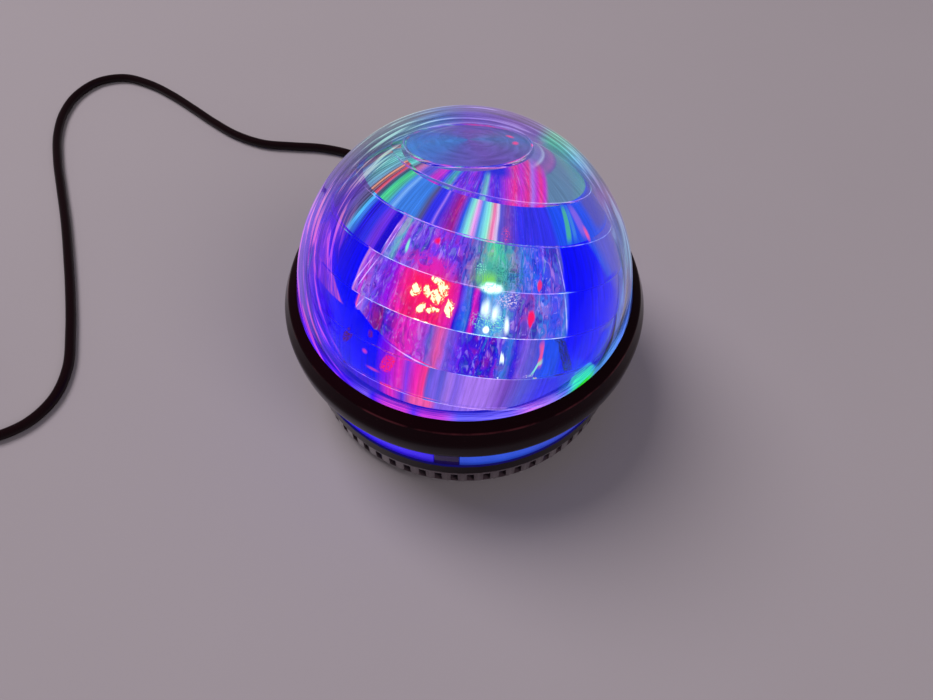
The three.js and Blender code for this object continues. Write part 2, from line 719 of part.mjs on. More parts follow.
// Gear motor under the deck, with its pinion on a shaft that comes up through the deck
function buildMotor() {
  const [x, y] = placeOnCircle(motorDistance, motorAngle);
  const ears = turnedTo(block(motorEarWidth, motorEarLength, motorEarThickness)
    .translate(0, 0, deckBottom - motorEarThickness / 2), motorAngle);
  const body = disc(motorRadius, deckBottom - motorHeight, deckBottom, 2 * smallSteps);
  const boss = disc(motorBossRadius, deckBottom - overrun, motorBossTop);
  const shaftHole = disc(motorShaftRadius + clearance, motorBossTop - motorShaftDepth - clearance,
    motorBossTop + overrun);
  const earHoles = [-1, 1].map((side) => turnedTo(disc(screwHoleRadius, deckBottom - motorHeight,
    deckBottom + overrun, tinySteps).translate(0, side * motorScrewSpacing / 2, 0), motorAngle));
  const motor = add('drive_motor', cut(joined(ears, body, boss), shaftHole, ...earHoles), steel);
  motor.position.set(x, y, 0);
  motorScrewPlaces().forEach((place, index) => addScrew(`motor_screw_${index + 1}`, place,
    deckBottom - motorEarThickness, true, motorEarThickness + deckThickness));
  const gapFacingHub = motorAngle + 180 + 180 / pinionTeeth;
  const teeth = extruded(gearOutline(pinionTeeth, gapFacingHub), pinionBottom, pinionTop);
  const shaft = disc(motorShaftRadius, motorBossTop - motorShaftDepth, pinionBottom + overrun);
  const pinion = add('motor_pinion', joined(teeth, shaft), whitePlastic);
  pinion.position.set(x, y, 0);
}

function boardScrewPlaces() {
  return boardScrewShares.map(([acrossShare, alongShare]) => [
    boardCentre[0] + boardSize[0] * acrossShare, boardCentre[1] + boardSize[1] * alongShare]);
}

// Main board on three posts, with a chip and a capacitor soldered on
function buildMainBoard() {
  const top = boardBottom + boardThickness;
  const sheet = block(boardSize[0], boardSize[1], boardThickness)
    .translate(boardCentre[0], boardCentre[1], boardBottom + boardThickness / 2);
  const chip = block(chipSize[0], chipSize[1], chipSize[2] + boardThickness / 2)
    .translate(boardCentre[0], boardCentre[1], top + (chipSize[2] - boardThickness / 2) / 2);
  const capacitor = disc(capacitorRadius, boardBottom + boardThickness / 2, top + capacitorHeight)
    .translate(boardCentre[0] - boardSize[0] / 4, boardCentre[1] + boardSize[1] / 4, 0);
  const holes = boardScrewPlaces().map((place) => pillar(place, screwHoleRadius, boardBottom - overrun,
    top + overrun));
  add('main_board', cut(joined(sheet, chip, capacitor), ...holes), boardGreen);
  boardScrewPlaces().forEach((place, index) => addScrew(`board_screw_${index + 1}`, place, top, false,
    boardThickness + boardPostHeight - clearance));
}

// Speaker face down on the bottom cover: basket, paper cone and magnet
function buildSpeaker() {
  const flangeTopZ = coverTop + speakerFlangeThickness;
  const basketTop = flangeTopZ + basketHeight;
  const rim = speakerRadius - 2 * basketWall;
  const frame = add('speaker_frame', turned([[rim - basketWall, coverTop], [speakerRadius, coverTop],
    [speakerRadius, flangeTopZ], [rim, flangeTopZ], [basketTopRadius, basketTop],
    [basketTopRadius / 2, basketTop], [basketTopRadius / 2, basketTop - basketWall],
    [basketTopRadius - basketWall, basketTop - basketWall], [rim - basketWall, flangeTopZ],
    [rim - basketWall, coverTop]], 2 * smallSteps), darkMetal);
  const coneTop = basketTop - 2 * basketWall;
  const coneRim = rim - basketWall - clearance;
  const coneThroat = basketTopRadius / 2;
  const cone = add('speaker_cone', turned([[coneRim, coverTop + clearance],
    [coneRim, coverTop + clearance + coneWall], [coneThroat, coneTop - coneWall], [0, coneTop],
    [0, coneTop - coneWall], [coneThroat - coneWall, coneTop - 2 * coneWall],
    [coneRim - coneWall, coverTop + clearance], [coneRim, coverTop + clearance]], 2 * smallSteps),
  mattBlack);
  const magnet = add('speaker_magnet', disc(magnetRadius, basketTop, basketTop + magnetHeight,
    2 * smallSteps), steel);
  [frame, cone, magnet].forEach((piece) => piece.position.set(...speakerCentre, 0));
}

// Rear panel group: its +X points out of the base, its +Y runs along the panel
function panelGroup(angle) {
  const group = new THREE.Group();
  group.rotation.z = radians(angle);
  part.add(group);
  return group;
}

function buildPowerSocket() {
  const panel = panelGroup(socketAngle);
  const face = skirtRadius - baseWall - 2 * clearance;
  const back = face - socketLength;
  const body = block(socketLength, socketWidth, 2 * (socketHeight - ledgeTop - clearance))
    .translate(back + socketLength / 2, 0, socketHeight);
  const nose = pointingOut(disc(socketNoseRadius, face - overrun, skirtRadius, smallSteps), 0, socketHeight);
  const bore = pointingOut(disc(socketBoreRadius, skirtRadius - socketBoreDepth, skirtRadius + overrun,
    smallSteps), 0, socketHeight);
  add('power_socket', cut(joined(body, nose), bore), mattBlack, panel);
  const gripStart = skirtRadius + clearance;
  const gripEnd = gripStart + plugGripLength;
  const bootEnd = gripEnd + plugBootLength;
  const plug = add('power_plug', pointingOut(turned([[0, gripStart - plugBarrelLength],
    [plugBarrelRadius, gripStart - plugBarrelLength], [plugBarrelRadius, gripStart],
    [plugGripRadius * plugGripEndShares[0], gripStart], [plugGripRadius, gripStart + clearance],
    [plugGripRadius, gripEnd - overrun], [plugGripRadius * plugGripEndShares[1], gripEnd],
    [plugBootEndRadius, bootEnd], [0, bootEnd]], smallSteps)), mattBlack, panel);
  plug.position.z = socketHeight;
}

// Three push buttons with flanges inside the shell, and the key board behind them
function buildButtons() {
  const panel = panelGroup(buttonAngle);
  const keys = [];
  const front = keyBoardDistance + keyBoardThickness;
  const flangeInner = front + keyDepth + plungerLength + buttonTravel + clearance;
  ['colour', 'power', 'speed'].forEach((name, index) => {
    const sideways = (index - 1) * buttonSpacing;
    const plunger = disc(plungerRadius, front, front + keyDepth + plungerLength, tinySteps);
    keys.push(block(keyDepth + keyBoardThickness / 2, keySize, keySize)
      .translate(front + (keyDepth - keyBoardThickness / 2) / 2, sideways, buttonHeight),
    pointingOut(plunger, sideways, buttonHeight));
    const tip = Math.sqrt(skirtRadius ** 2 - sideways ** 2) + buttonProud;
    const bevel = clearance;
    const button = add(`${name}_button`, pointingOut(turned([[0, flangeInner],
      [buttonFlangeRadius, flangeInner], [buttonFlangeRadius, flangeInner + buttonFlangeThickness],
      [buttonRadius, flangeInner + buttonFlangeThickness], [buttonRadius, tip - bevel],
      [buttonRadius - bevel, tip], [0, tip]], smallSteps)), mattBlack, panel);
    button.position.set(0, sideways, buttonHeight);
  });
  const board = block(keyBoardThickness, keyBoardLength, keyBoardHeight)
    .translate(keyBoardDistance + keyBoardThickness / 2, 0, coverTop + keyBoardHeight / 2);
  add('key_board', joined(board, ...keys), boardGreen, panel);
}

// Where the power plug's boot lets go of the lead
function plugEnd() {
  const distance = skirtRadius + clearance + plugGripLength + plugBootLength + clearance;
  const [x, y] = placeOnCircle(distance, socketAngle);
  return new THREE.Vector3(x, y, socketHeight);
}

// Place on the coil after some turns: in along the lower layer, out again along the upper one
function coilPoint(turn) {
  const middle = coilTurns / 2;
  const fromMiddle = turn - middle;
  const halfClimb = climbTurns / 2;
  const away = Math.abs(fromMiddle) > halfClimb ? Math.abs(fromMiddle)
    : (fromMiddle ** 2 / halfClimb + halfClimb) / 2;
  const radius = coilRadius - coilPitch * (middle - away);
  const share = Math.min(1, Math.max(0, (fromMiddle + halfClimb) / climbTurns));
  const height = coilLayerBottom + coilPitch * share * share * (3 - 2 * share);
  const [x, y] = placeOnCircle(radius, coilStartAngle - 360 * turn);
  return new THREE.Vector3(coilCentre[0] + x, coilCentre[1] + y, height);
}

function coilHeading(turn) {
  const small = 1 / coilLoopSteps / 8;
  return coilPoint(turn + small).sub(coilPoint(turn - small)).setZ(0).normalize();
}

// The coil's centre line, with a straight lead one cord diameter long at each end
function coilPath() {
  const count = Math.round(coilTurns * coilLoopSteps);
  const points = spread(0, coilTurns, count).map(coilPoint);
  const lead = 2 * cordRadius;
  points.unshift(points[0].clone().addScaledVector(coilHeading(0), -lead));
  points.push(points[points.length - 1].clone().addScaledVector(coilHeading(coilTurns), lead));
  return points;
}

// A tube of flat rings along points that wind round an upright axis
function windTube(points, radius, sides) {
  const up = new THREE.Vector3(0, 0, 1);
  const corners = [];
  points.forEach((point, index) => {
    const before = points[Math.max(0, index - 1)];
    const after = points[Math.min(points.length - 1, index + 1)];
    const along = after.clone().sub(before).normalize();
    const across = new THREE.Vector3().crossVectors(along, up).normalize();
    const rise = new THREE.Vector3().crossVectors(across, along);
    for (let side = 0; side < sides; side += 1) {
      const angle = 2 * Math.PI * side / sides;
      corners.push(point.clone().addScaledVector(across, radius * Math.cos(angle))
        .addScaledVector(rise, radius * Math.sin(angle)));
    }
  });
  const faces = [];
  const last = (points.length - 1) * sides;
  for (let ring = 0; ring < points.length - 1; ring += 1) {
    for (let side = 0; side < sides; side += 1) {
      const next = (side + 1) % sides;
      const here = ring * sides;
      faces.push(here + side, here + next, here + sides + side);
      faces.push(here + next, here + sides + next, here + sides + side);
    }
  }
  for (let side = 1; side < sides - 1; side += 1) {
    faces.push(0, side + 1, side);
    faces.push(last, last + side, last + side + 1);
  }
  const geometry = new THREE.BufferGeometry().setFromPoints(corners);
  geometry.setIndex(faces);
  return geometry;
}

// Least space between the coil's turns, measured from the points of its centre line
function leastCoilGap(points) {
  const apart = coilLoopSteps / 2;
  let least = Infinity;
  for (let i = 0; i < points.length; i += 1) {
    for (let j = i + apart; j < points.length; j += 1) {
      least = Math.min(least, points[i].distanceTo(points[j]) - 2 * cordRadius);
    }
  }
  return least;
}

function tube(points, radius, sides) {
  const curve = new THREE.CatmullRomCurve3(points, false, 'centripetal');
  const section = new THREE.Shape();
  section.absarc(0, 0, radius, 0, 2 * Math.PI, false);
  const steps = Math.max(2, Math.round(curve.getLength() / cordStepLength));
  return { curve, geometry: new THREE.ExtrudeGeometry(section, { steps, bevelEnabled: false,
    extrudePath: curve, curveSegments: sides / 2 }) };
}

function pathLength(points) {
  return points.slice(1).reduce((sum, point, index) => sum + point.distanceTo(points[index]), 0);
}

// The lead: from the power plug round to the coil, the coil, its tie, and the tail to the far plug
function buildLead() {
  const path = coilPath();
  const start = plugEnd();
  const out = new THREE.Vector3(...placeOnCircle(1, socketAngle), 0);
  const coilEntry = path[0].clone().addScaledVector(coilHeading(0), -clearance);
  const run = tube([start, start.clone().addScaledVector(out, cordRadius),
    ...cordRoute.map((point) => new THREE.Vector3(...point)),
    coilEntry.clone().addScaledVector(coilHeading(0), -2 * cordRadius), coilEntry], cordRadius, cordSides);
  add('cord_run', run.geometry, mattBlack);
  add('cord_coil', windTube(path, cordRadius, coilSides), mattBlack);

  const heading = coilHeading(coilTurns);
  const tailStart = path[path.length - 1].clone().addScaledVector(heading, clearance);
  const plugAxis = usbBodySize[2] / 2;
  const along = (share, height) => tailStart.clone().addScaledVector(heading, tailLength * share)
    .setZ(height);
  const drop = tailStart.z - plugAxis;
  const tail = tube([tailStart, along(0.12, tailStart.z), along(0.4, plugAxis + 0.72 * drop),
    along(0.62, plugAxis + 0.28 * drop), along(0.88, plugAxis), along(1, plugAxis)], cordRadius, cordSides);
  add('cord_tail', tail.geometry, mattBlack);
  buildUsbPlug(along(1, plugAxis).addScaledVector(heading, clearance), heading);
  buildTie();
  const total = run.curve.getLength() + pathLength(path) + tail.curve.getLength();
  console.log(`lead ${(total).toFixed(1)} mm: run ${run.curve.getLength().toFixed(1)}, coil `
    + `${pathLength(path).toFixed(1)}, tail ${tail.curve.getLength().toFixed(1)}`);
  console.log(`coil's least gap to itself ${leastCoilGap(path).toFixed(2)} mm`);
}

function roundedBar(width, height, round) {
  const shape = new THREE.Shape();
  const [x, y] = [width / 2, height / 2];
  shape.moveTo(x, y - round);
  shape.absarc(x - round, y - round, round, 0, Math.PI / 2, false);
  shape.absarc(-x + round, y - round, round, Math.PI / 2, Math.PI, false);
  shape.absarc(-x + round, -y + round, round, Math.PI, 1.5 * Math.PI, false);
  shape.absarc(x - round, -y + round, round, 1.5 * Math.PI, 2 * Math.PI, false);
  shape.closePath();
  return shape;
}

// Flat rectangular plug on the lead's far end; its group's +Z points the way the lead arrives
function buildUsbPlug(place, heading) {
  const group = new THREE.Group();
  group.position.copy(place);
  group.quaternion.setFromRotationMatrix(new THREE.Matrix4().makeBasis(
    new THREE.Vector3(-heading.y, heading.x, 0), new THREE.Vector3(0, 0, 1), heading));
  part.add(group);
  const [width, length, height] = usbBodySize;
  const [shellWidth, shellLength, shellHeight] = usbShellSize;
  const roundSteps = 3;
  const bodyEnd = usbBootLength + length;
  const body = extruded(roundedBar(width, height, usbBodyRound), usbBootLength, bodyEnd, roundSteps);
  const boot = turned([[0, 0], [plugBootEndRadius, 0], [height / 2 - clearance, usbBootLength],
    [height / 2 - clearance, usbBootLength + overrun], [0, usbBootLength + overrun]], smallSteps);
  const inWidth = shellWidth - 2 * usbShellWall;
  const inHeight = shellHeight - 2 * usbShellWall;
  const tongueEnd = bodyEnd + shellLength - clearance;
  const tongue = block(inWidth - 2 * clearance, usbTongueThickness, tongueEnd - bodyEnd + overrun)
    .translate(0, (usbTongueThickness - inHeight) / 2 + clearance, (tongueEnd + bodyEnd - overrun) / 2);
  add('usb_plug_body', joined(body, boot, tongue), mattBlack, group);
  const outline = roundedBar(shellWidth, shellHeight, usbShellWall);
  outline.holes.push(roundedBar(inWidth, inHeight, usbShellWall / 2));
  add('usb_plug_shell', extruded(outline, bodyEnd, bodyEnd + shellLength, 1), steel, group);
}

// How far from the coil's axis each of its turns lies at an angle
function coilRadiiAt(angle) {
  const firstTurn = ((coilStartAngle - angle) / 360 + 1) % 1;
  const count = Math.floor(coilTurns - firstTurn) + 1;
  const centre = new THREE.Vector3(...coilCentre, 0);
  return spread(firstTurn, firstTurn + count - 1, count - 1).map((turn) => coilPoint(turn).setZ(0)
    .distanceTo(centre));
}

// The tie: a flat band once round the bundle of turns
function buildTie() {
  const group = new THREE.Group();
  group.position.set(...coilCentre, 0);
  group.rotation.z = radians(tieAngle);
  part.add(group);
  const fit = cordRadius + clearance;
  const radii = coilRadiiAt(tieAngle);
  const inside = Math.min(...radii) - fit - tieWidth ** 2 / 8 / Math.min(...radii);
  const outside = Math.max(...radii) + fit;
  const bottom = tieThickness;
  const top = coilLayerTop + fit;
  const shape = new THREE.Shape();
  const rim = tieThickness;
  shape.moveTo(inside - rim, bottom - rim);
  shape.lineTo(outside + rim, bottom - rim);
  shape.lineTo(outside + rim, top + rim);
  shape.lineTo(inside - rim, top + rim);
  shape.closePath();
  const hole = new THREE.Path();
  hole.moveTo(inside, bottom);
  hole.lineTo(outside, bottom);
  hole.lineTo(outside, top);
  hole.lineTo(inside, top);
  hole.closePath();
  shape.holes.push(hole);
  add('cord_tie', extruded(shape, -tieWidth / 2, tieWidth / 2).rotateX(Math.PI / 2), mattBlack, group);
}

function buildRotor() {
  const rotor = new THREE.Group();
  part.add(rotor);
  buildTurntable(rotor);
  buildPrism(rotor);
  buildRippleCup(rotor);
}

buildBaseShell();
buildBottomCover();
buildCaseScrews();
buildLightBand();
buildDeck();
buildCollar();
buildDome();
buildLampPost();
buildRotor();
buildMotor();
buildMainBoard();
buildSpeaker();
buildPowerSocket();
buildButtons();
buildLead();

export default part;
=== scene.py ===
import bpy
import bmesh
import math
from mathutils import Matrix, Vector


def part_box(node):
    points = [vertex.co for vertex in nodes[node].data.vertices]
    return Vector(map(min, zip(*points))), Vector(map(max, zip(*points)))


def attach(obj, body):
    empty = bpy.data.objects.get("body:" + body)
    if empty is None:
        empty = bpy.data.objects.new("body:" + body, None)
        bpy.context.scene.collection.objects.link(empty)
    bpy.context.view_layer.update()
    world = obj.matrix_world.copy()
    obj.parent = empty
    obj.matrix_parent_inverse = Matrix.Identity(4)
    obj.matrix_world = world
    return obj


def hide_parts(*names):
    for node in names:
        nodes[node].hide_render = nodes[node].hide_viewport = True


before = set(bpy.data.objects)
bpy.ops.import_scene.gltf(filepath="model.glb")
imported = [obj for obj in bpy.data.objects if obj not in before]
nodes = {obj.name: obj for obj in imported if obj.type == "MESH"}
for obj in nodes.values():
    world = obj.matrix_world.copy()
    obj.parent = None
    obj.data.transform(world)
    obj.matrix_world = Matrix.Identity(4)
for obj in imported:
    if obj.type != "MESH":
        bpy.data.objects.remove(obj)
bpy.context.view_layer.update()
scene = bpy.context.scene
mm = 0.001
print("frame loaded with", len(nodes), "nodes")

# Camera
view = {"place": (0, -197.645, 300.375), "turn": (33.566, -0.572, 0.484), "lens": 27.01, "sensor": 36}
camera = bpy.data.objects.new("camera", bpy.data.cameras.new("camera"))
scene.collection.objects.link(camera)
camera.location = Vector(view["place"]) * mm
camera.rotation_euler = [math.radians(angle) for angle in view["turn"]]
camera.data.lens = view["lens"]
camera.data.sensor_width = view["sensor"]
camera.data.clip_start = 0.01
scene.camera = camera
scene.view_settings.view_transform = "Standard"


# Node helpers
class Flow:  # a socket to reckon with: each step adds its node to the same tree
    def __init__(self, tree, socket):
        self.tree, self.socket = tree, socket

    def __getitem__(self, name):  # another output of the same node
        return Flow(self.tree, self.socket.node.outputs[name])

    def __add__(self, other):
        return calc("ADD", self, other)

    def __sub__(self, other):
        return calc("SUBTRACT", self, other)

    def __rsub__(self, other):
        return calc("SUBTRACT", other, self)

    def __mul__(self, other):
        return calc("MULTIPLY", self, other)

    def __truediv__(self, other):
        return calc("DIVIDE", self, other)

    def __abs__(self):
        return calc("ABSOLUTE", self)


def setInputs(node, inputs):
    for key, value in inputs.items():
        if isinstance(value, Flow):
            value.tree.links.new(value.socket, node.inputs[key])
        else:
            node.inputs[key].default_value = value


def addNode(tree, kind, inputs, output=0, **settings):
    node = tree.nodes.new("ShaderNode" + kind)
    for key, value in settings.items():
        setattr(node, key, value)
    setInputs(node, inputs)
    return Flow(tree, node.outputs[output])


def treeOf(values):
    return next(value.tree for value in values if isinstance(value, Flow))


def calc(operation, *values):
    return addNode(treeOf(values), "Math", dict(enumerate(values)), operation=operation)


def vector(operation, *values):
    return addNode(treeOf(values), "VectorMath", dict(enumerate(values)), operation=operation)


def span(value, start, end, low, high, kind="LINEAR"):  # low at start, high at end, held beyond
    return addNode(value.tree, "MapRange", {"Value": value, "From Min": start, "From Max": end,
                                            "To Min": low, "To Max": high}, interpolation_type=kind)


def fade(value, start, end, low=0, high=1):  # the same with soft ends
    return span(value, start, end, low, high, "SMOOTHSTEP")


def blendColour(factor, first, second, mode="MIX"):
    values = (factor, first, second)
    return addNode(treeOf(values), "Mix", dict(zip((0, 6, 7), values)), 2, data_type="RGBA", blend_type=mode)


def blendValue(factor, first, second):
    return addNode(factor.tree, "Mix", {0: factor, 2: first, 3: second})


def split(place):
    node = addNode(place.tree, "SeparateXYZ", {"Vector": place})
    return node, node["Y"], node["Z"]


def plane(x, y):
    return addNode(x.tree, "CombineXYZ", {"X": x, "Y": y})


def cloud(place, scale, detail, rough=0.5, distortion=0):
    return addNode(place.tree, "TexNoise", {"Vector": place, "Scale": scale, "Detail": detail,
                                            "Roughness": rough, "Distortion": distortion})


def bumped(height, strength, distance):
    return addNode(height.tree, "Bump", {"Height": height, "Strength": strength, "Distance": distance})


def paint(red, green, blue, alpha=1.0):  # 0-255 screen values to a linear colour
    def toLinear(value):
        share = value / 255
        return share / 12.92 if share < 0.04045 else ((share + 0.055) / 1.055) ** 2.4
    return (toLinear(red), toLinear(green), toLinear(blue), alpha)


def scaled(colour, factor):
    return tuple(channel * factor for channel in colour[:3]) + (1,)


def ramp(factor, stops):
    light = addNode(factor.tree, "ValToRGB", {"Fac": factor})
    elements = light.socket.node.color_ramp.elements
    for index, (position, colour) in enumerate(stops):
        if index < len(elements):
            elements[index].position = position
        else:
            elements.new(position)
        elements[index].color = colour
    return light


def paintRamp(factor, *stops):
    return ramp(factor, [(position, paint(*values)) for position, *values in stops])


def newGroup(name, inputs, outputs):  # an input with no value is a vector, all others are numbers
    tree = bpy.data.node_groups.new(name, "ShaderNodeTree")
    for key, value in inputs.items():
        kind = "NodeSocketVector" if value is None else "NodeSocketFloat"
        socket = tree.interface.new_socket(key, in_out="INPUT", socket_type=kind)
        if value is not None:
            socket.default_value = value
    for key in outputs:
        tree.interface.new_socket(key, in_out="OUTPUT", socket_type="NodeSocketFloat")
    given = tree.nodes.new("NodeGroupInput")
    return tree, {key: Flow(tree, given.outputs[key]) for key in inputs}, tree.nodes.new("NodeGroupOutput")


def useGroup(group, inputs):
    tree = treeOf(inputs.values())
    node = tree.nodes.new("ShaderNodeGroup")
    node.node_tree = group
    setInputs(node, inputs)
    return Flow(tree, node.outputs[0])


def newMaterial(name):
    material = bpy.data.materials.new(name)
    material.use_nodes = True
    tree = material.node_tree
    return material, tree.nodes["Principled BSDF"], addNode(tree, "TexCoord", {}, "Object")


# Fine moulding grain with faint smears: colour share, roughness shift and a height
def makeGrainGroup():
    tree, given, result = newGroup("grain", {"Place": None, "Scale": 900.0, "Smear": 40.0},
                                   ["Shade", "Rough", "Height"])
    fine = cloud(given["Place"], given["Scale"], 3)
    broad = cloud(given["Place"], given["Smear"], 5, 0.65)
    setInputs(result, {"Shade": fade(fine, 0.66, 0.74) * broad, "Rough": broad, "Height": fine})
    return tree


grainGroup = makeGrainGroup()


# Plastic, rubber, metal or card with grain, smears and specks of dust
def makeSolid(name, rgb, rough, scale=900, bump=0.1, metal=0, specular=0.5):
    material, shader, place = newMaterial(name)
    grain = useGroup(grainGroup, {"Place": place, "Scale": scale})
    base = paint(*rgb)
    speck = tuple(min(1, channel * 1.6 + 0.02) for channel in base[:3]) + (1,)
    setInputs(shader, {"Base Color": blendColour(grain, base, speck),
                       "Roughness": span(grain["Rough"], 0.3, 0.7, rough * 0.8, rough * 1.25),
                       "Normal": bumped(grain["Height"], bump, 0.0002), "Metallic": metal,
                       "Specular IOR Level": specular})
    return material


finishes = {name: makeSolid(name, **look) for name, look in {
    "mattBlack": {"rgb": (24, 23, 25), "rough": 0.5, "bump": 0.3},
    "rubber": {"rgb": (19, 12, 14), "rough": 0.42, "bump": 0.15, "specular": 0.4},
    "whitePlastic": {"rgb": (225, 226, 230), "rough": 0.4},
    "steel": {"rgb": (175, 176, 180), "rough": 0.3, "metal": 1, "scale": 1500},
    "brightSteel": {"rgb": (205, 206, 210), "rough": 0.18, "metal": 1},
    "darkMetal": {"rgb": (70, 72, 78), "rough": 0.4, "metal": 1},
    "paperCone": {"rgb": (34, 33, 34), "rough": 0.85, "bump": 0.8, "scale": 500},
    "boardGreen": {"rgb": (24, 88, 52), "rough": 0.4, "scale": 400},
}.items()}
print("plain finishes made")


# Mesh helpers
def smoothLine(points, perSpan):  # a centripetal spline through points, ends included
    ends = [points[0] * 2 - points[1], *points, points[-1] * 2 - points[-2]]
    line = []
    for before, here, there, after in zip(ends, ends[1:], ends[2:], ends[3:]):
        gaps = [math.sqrt(max((b - a).length, 1e-9)) for a, b in
                ((before, here), (here, there), (there, after))]
        leave = ((here - before) / gaps[0] - (there - before) / (gaps[0] + gaps[1])
                 + (there - here) / gaps[1]) * gaps[1]
        arrive = ((there - here) / gaps[1] - (after - here) / (gaps[1] + gaps[2])
                  + (after - there) / gaps[2]) * gaps[1]
        for step in range(perSpan):
            t = step / perSpan
            line.append(here + leave * t + (here * -3 + there * 3 - leave * 2 - arrive) * t ** 2
                        + (here * 2 - there * 2 + leave + arrive) * t ** 3)
    return [*line, points[-1]]


def toObject(name, bm, materials, body, replaced=(), sharpAngle=35):
    mesh = bpy.data.meshes.new(name)
    bm.to_mesh(mesh)
    bm.free()
    for material in materials:
        mesh.materials.append(material)
    mesh.shade_smooth()
    mesh.set_sharp_from_angle(angle=math.radians(sharpAngle))
    piece = bpy.data.objects.new(name, mesh)
    scene.collection.objects.link(piece)
    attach(piece, body)
    if replaced:
        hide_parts(*replaced)
    return piece


class Outline:  # a half section drawn in the XZ plane, in millimetres, then turned about Z
    def __init__(self, x, z):
        self.bm = bmesh.new()
        self.first = self.last = self.bm.verts.new((x * mm, 0, z * mm))

    def line(self, *points):
        for x, z in points:
            made = bmesh.ops.extrude_vert_indiv(self.bm, verts=[self.last])
            self.last = made["verts"][0]
            self.last.co = (x * mm, 0, z * mm)
        return self

    def arc(self, centre, degrees, steps, stretch=1):
        centre = Vector((centre[0], 0, centre[1])) * mm
        before = set(self.bm.verts)
        made = bmesh.ops.spin(self.bm, geom=[self.last], cent=centre, axis=(0, 1, 0),
                              angle=math.radians(degrees), steps=steps, use_merge=False)
        self.last = [item for item in made["geom_last"] if isinstance(item, bmesh.types.BMVert)][0]
        for vert in set(self.bm.verts) - before:
            vert.co.z = centre.z + (vert.co.z - centre.z) * stretch
        return self

    def curve(self, points, perSpan=4):
        line = smoothLine([Vector((x, 0, z)) for x, z in points], perSpan)
        return self.line(*[(point.x, point.z) for point in line])

    def close(self):
        self.bm.edges.new((self.last, self.first))
        return self

    def turn(self, steps, degrees=360, start=0):
        bm = self.bm
        bmesh.ops.rotate(bm, verts=bm.verts[:], cent=(0, 0, 0),
                         matrix=Matrix.Rotation(math.radians(start), 3, "Z"))
        full = degrees == 360
        bmesh.ops.spin(bm, geom=bm.verts[:] + bm.edges[:], cent=(0, 0, 0), axis=(0, 0, 1),
                       angle=math.radians(degrees), steps=steps, use_merge=full)
        bmesh.ops.remove_doubles(bm, verts=bm.verts[:], dist=1e-6)
        if not full:
            rims = [edge for edge in bm.edges if edge.is_boundary]
            bmesh.ops.holes_fill(bm, edges=rims, sides=0)
        bmesh.ops.recalc_face_normals(bm, faces=bm.faces[:])
        return bm


def soften(bm, width, least=40, segments=2):  # rounds every edge sharper than an angle
    sharp = [edge for edge in bm.edges if len(edge.link_faces) == 2
             and edge.calc_face_angle(0) > math.radians(least)]
    bmesh.ops.bevel(bm, geom=sharp, offset=width * mm, offset_type="OFFSET", affect="EDGES",
                    segments=segments, profile=0.5, material=-1, clamp_overlap=True)
    return bm


def copyNode(name):  # a merged copy of a CAD node's mesh
    bm = bmesh.new()
    bm.from_mesh(nodes[name].data)
    bmesh.ops.remove_doubles(bm, verts=bm.verts[:], dist=2e-6)
    bmesh.ops.dissolve_limit(bm, angle_limit=math.radians(0.5), verts=bm.verts[:], edges=bm.edges[:])
    return bm


# Cord
cord = {
    "radius": 2.5, "exit": (-35.91, 98.67, 12), "clearance": 0.3,
    "route": [(-38.4, 105.5, 11.5), (-43.5, 117.5, 8.6), (-51, 129.5, 5), (-62, 140, 3),
              (-76, 147.3, 2.6), (-92, 151.3, 2.6), (-110, 152.6, 2.6), (-128, 154.5, 2.6),
              (-146, 162, 2.6), (-163, 174, 2.6), (-180, 188, 2.6), (-197, 201.5, 2.6),
              (-215, 213, 2.6), (-234, 219.5, 2.6), (-250, 215, 2.6), (-260, 201, 2.6),
              (-263, 182, 2.6), (-260, 160, 2.6), (-252, 136, 2.6), (-242, 112, 2.6),
              (-231, 86, 2.6), (-221, 60, 2.6), (-211.5, 34, 2.6), (-203, 8, 2.6),
              (-197.5, -14, 2.6), (-198.5, -31, 2.6), (-206, -44, 2.6), (-218.5, -52, 2.6),
              (-235, -56, 2.7), (-250, -57.2, 3.1)],
    "coil": {"centre": (-273, -25.4), "radius": 32, "pitch": 5.7, "turns": 3.25, "start": -90,
             "climb": 0.5, "bottom": 3.4, "steps": 48},
    "tail": {"length": 34, "height": 3.9,  # and shares of the length with the share of the drop left there
             "drop": [(0.12, 1), (0.4, 0.72), (0.62, 0.28), (0.88, 0), (1, 0)]},
}


def coilPoint(turn):
    coil = cord["coil"]
    middle = coil["turns"] / 2
    half = coil["climb"] / 2
    offset = turn - middle
    away = abs(offset) if abs(offset) > half else (offset ** 2 / half + half) / 2
    radius = coil["radius"] - coil["pitch"] * (middle - away)
    share = min(1, max(0, (offset + half) / coil["climb"]))
    angle = math.radians(coil["start"] - 360 * turn)
    return Vector((coil["centre"][0] + radius * math.cos(angle),
                   coil["centre"][1] + radius * math.sin(angle),
                   coil["bottom"] + coil["pitch"] * share * share * (3 - 2 * share)))


def coilHeading(turn):
    small = 0.005
    way = coilPoint(turn + small) - coilPoint(turn - small)
    way.z = 0
    return way.normalized()


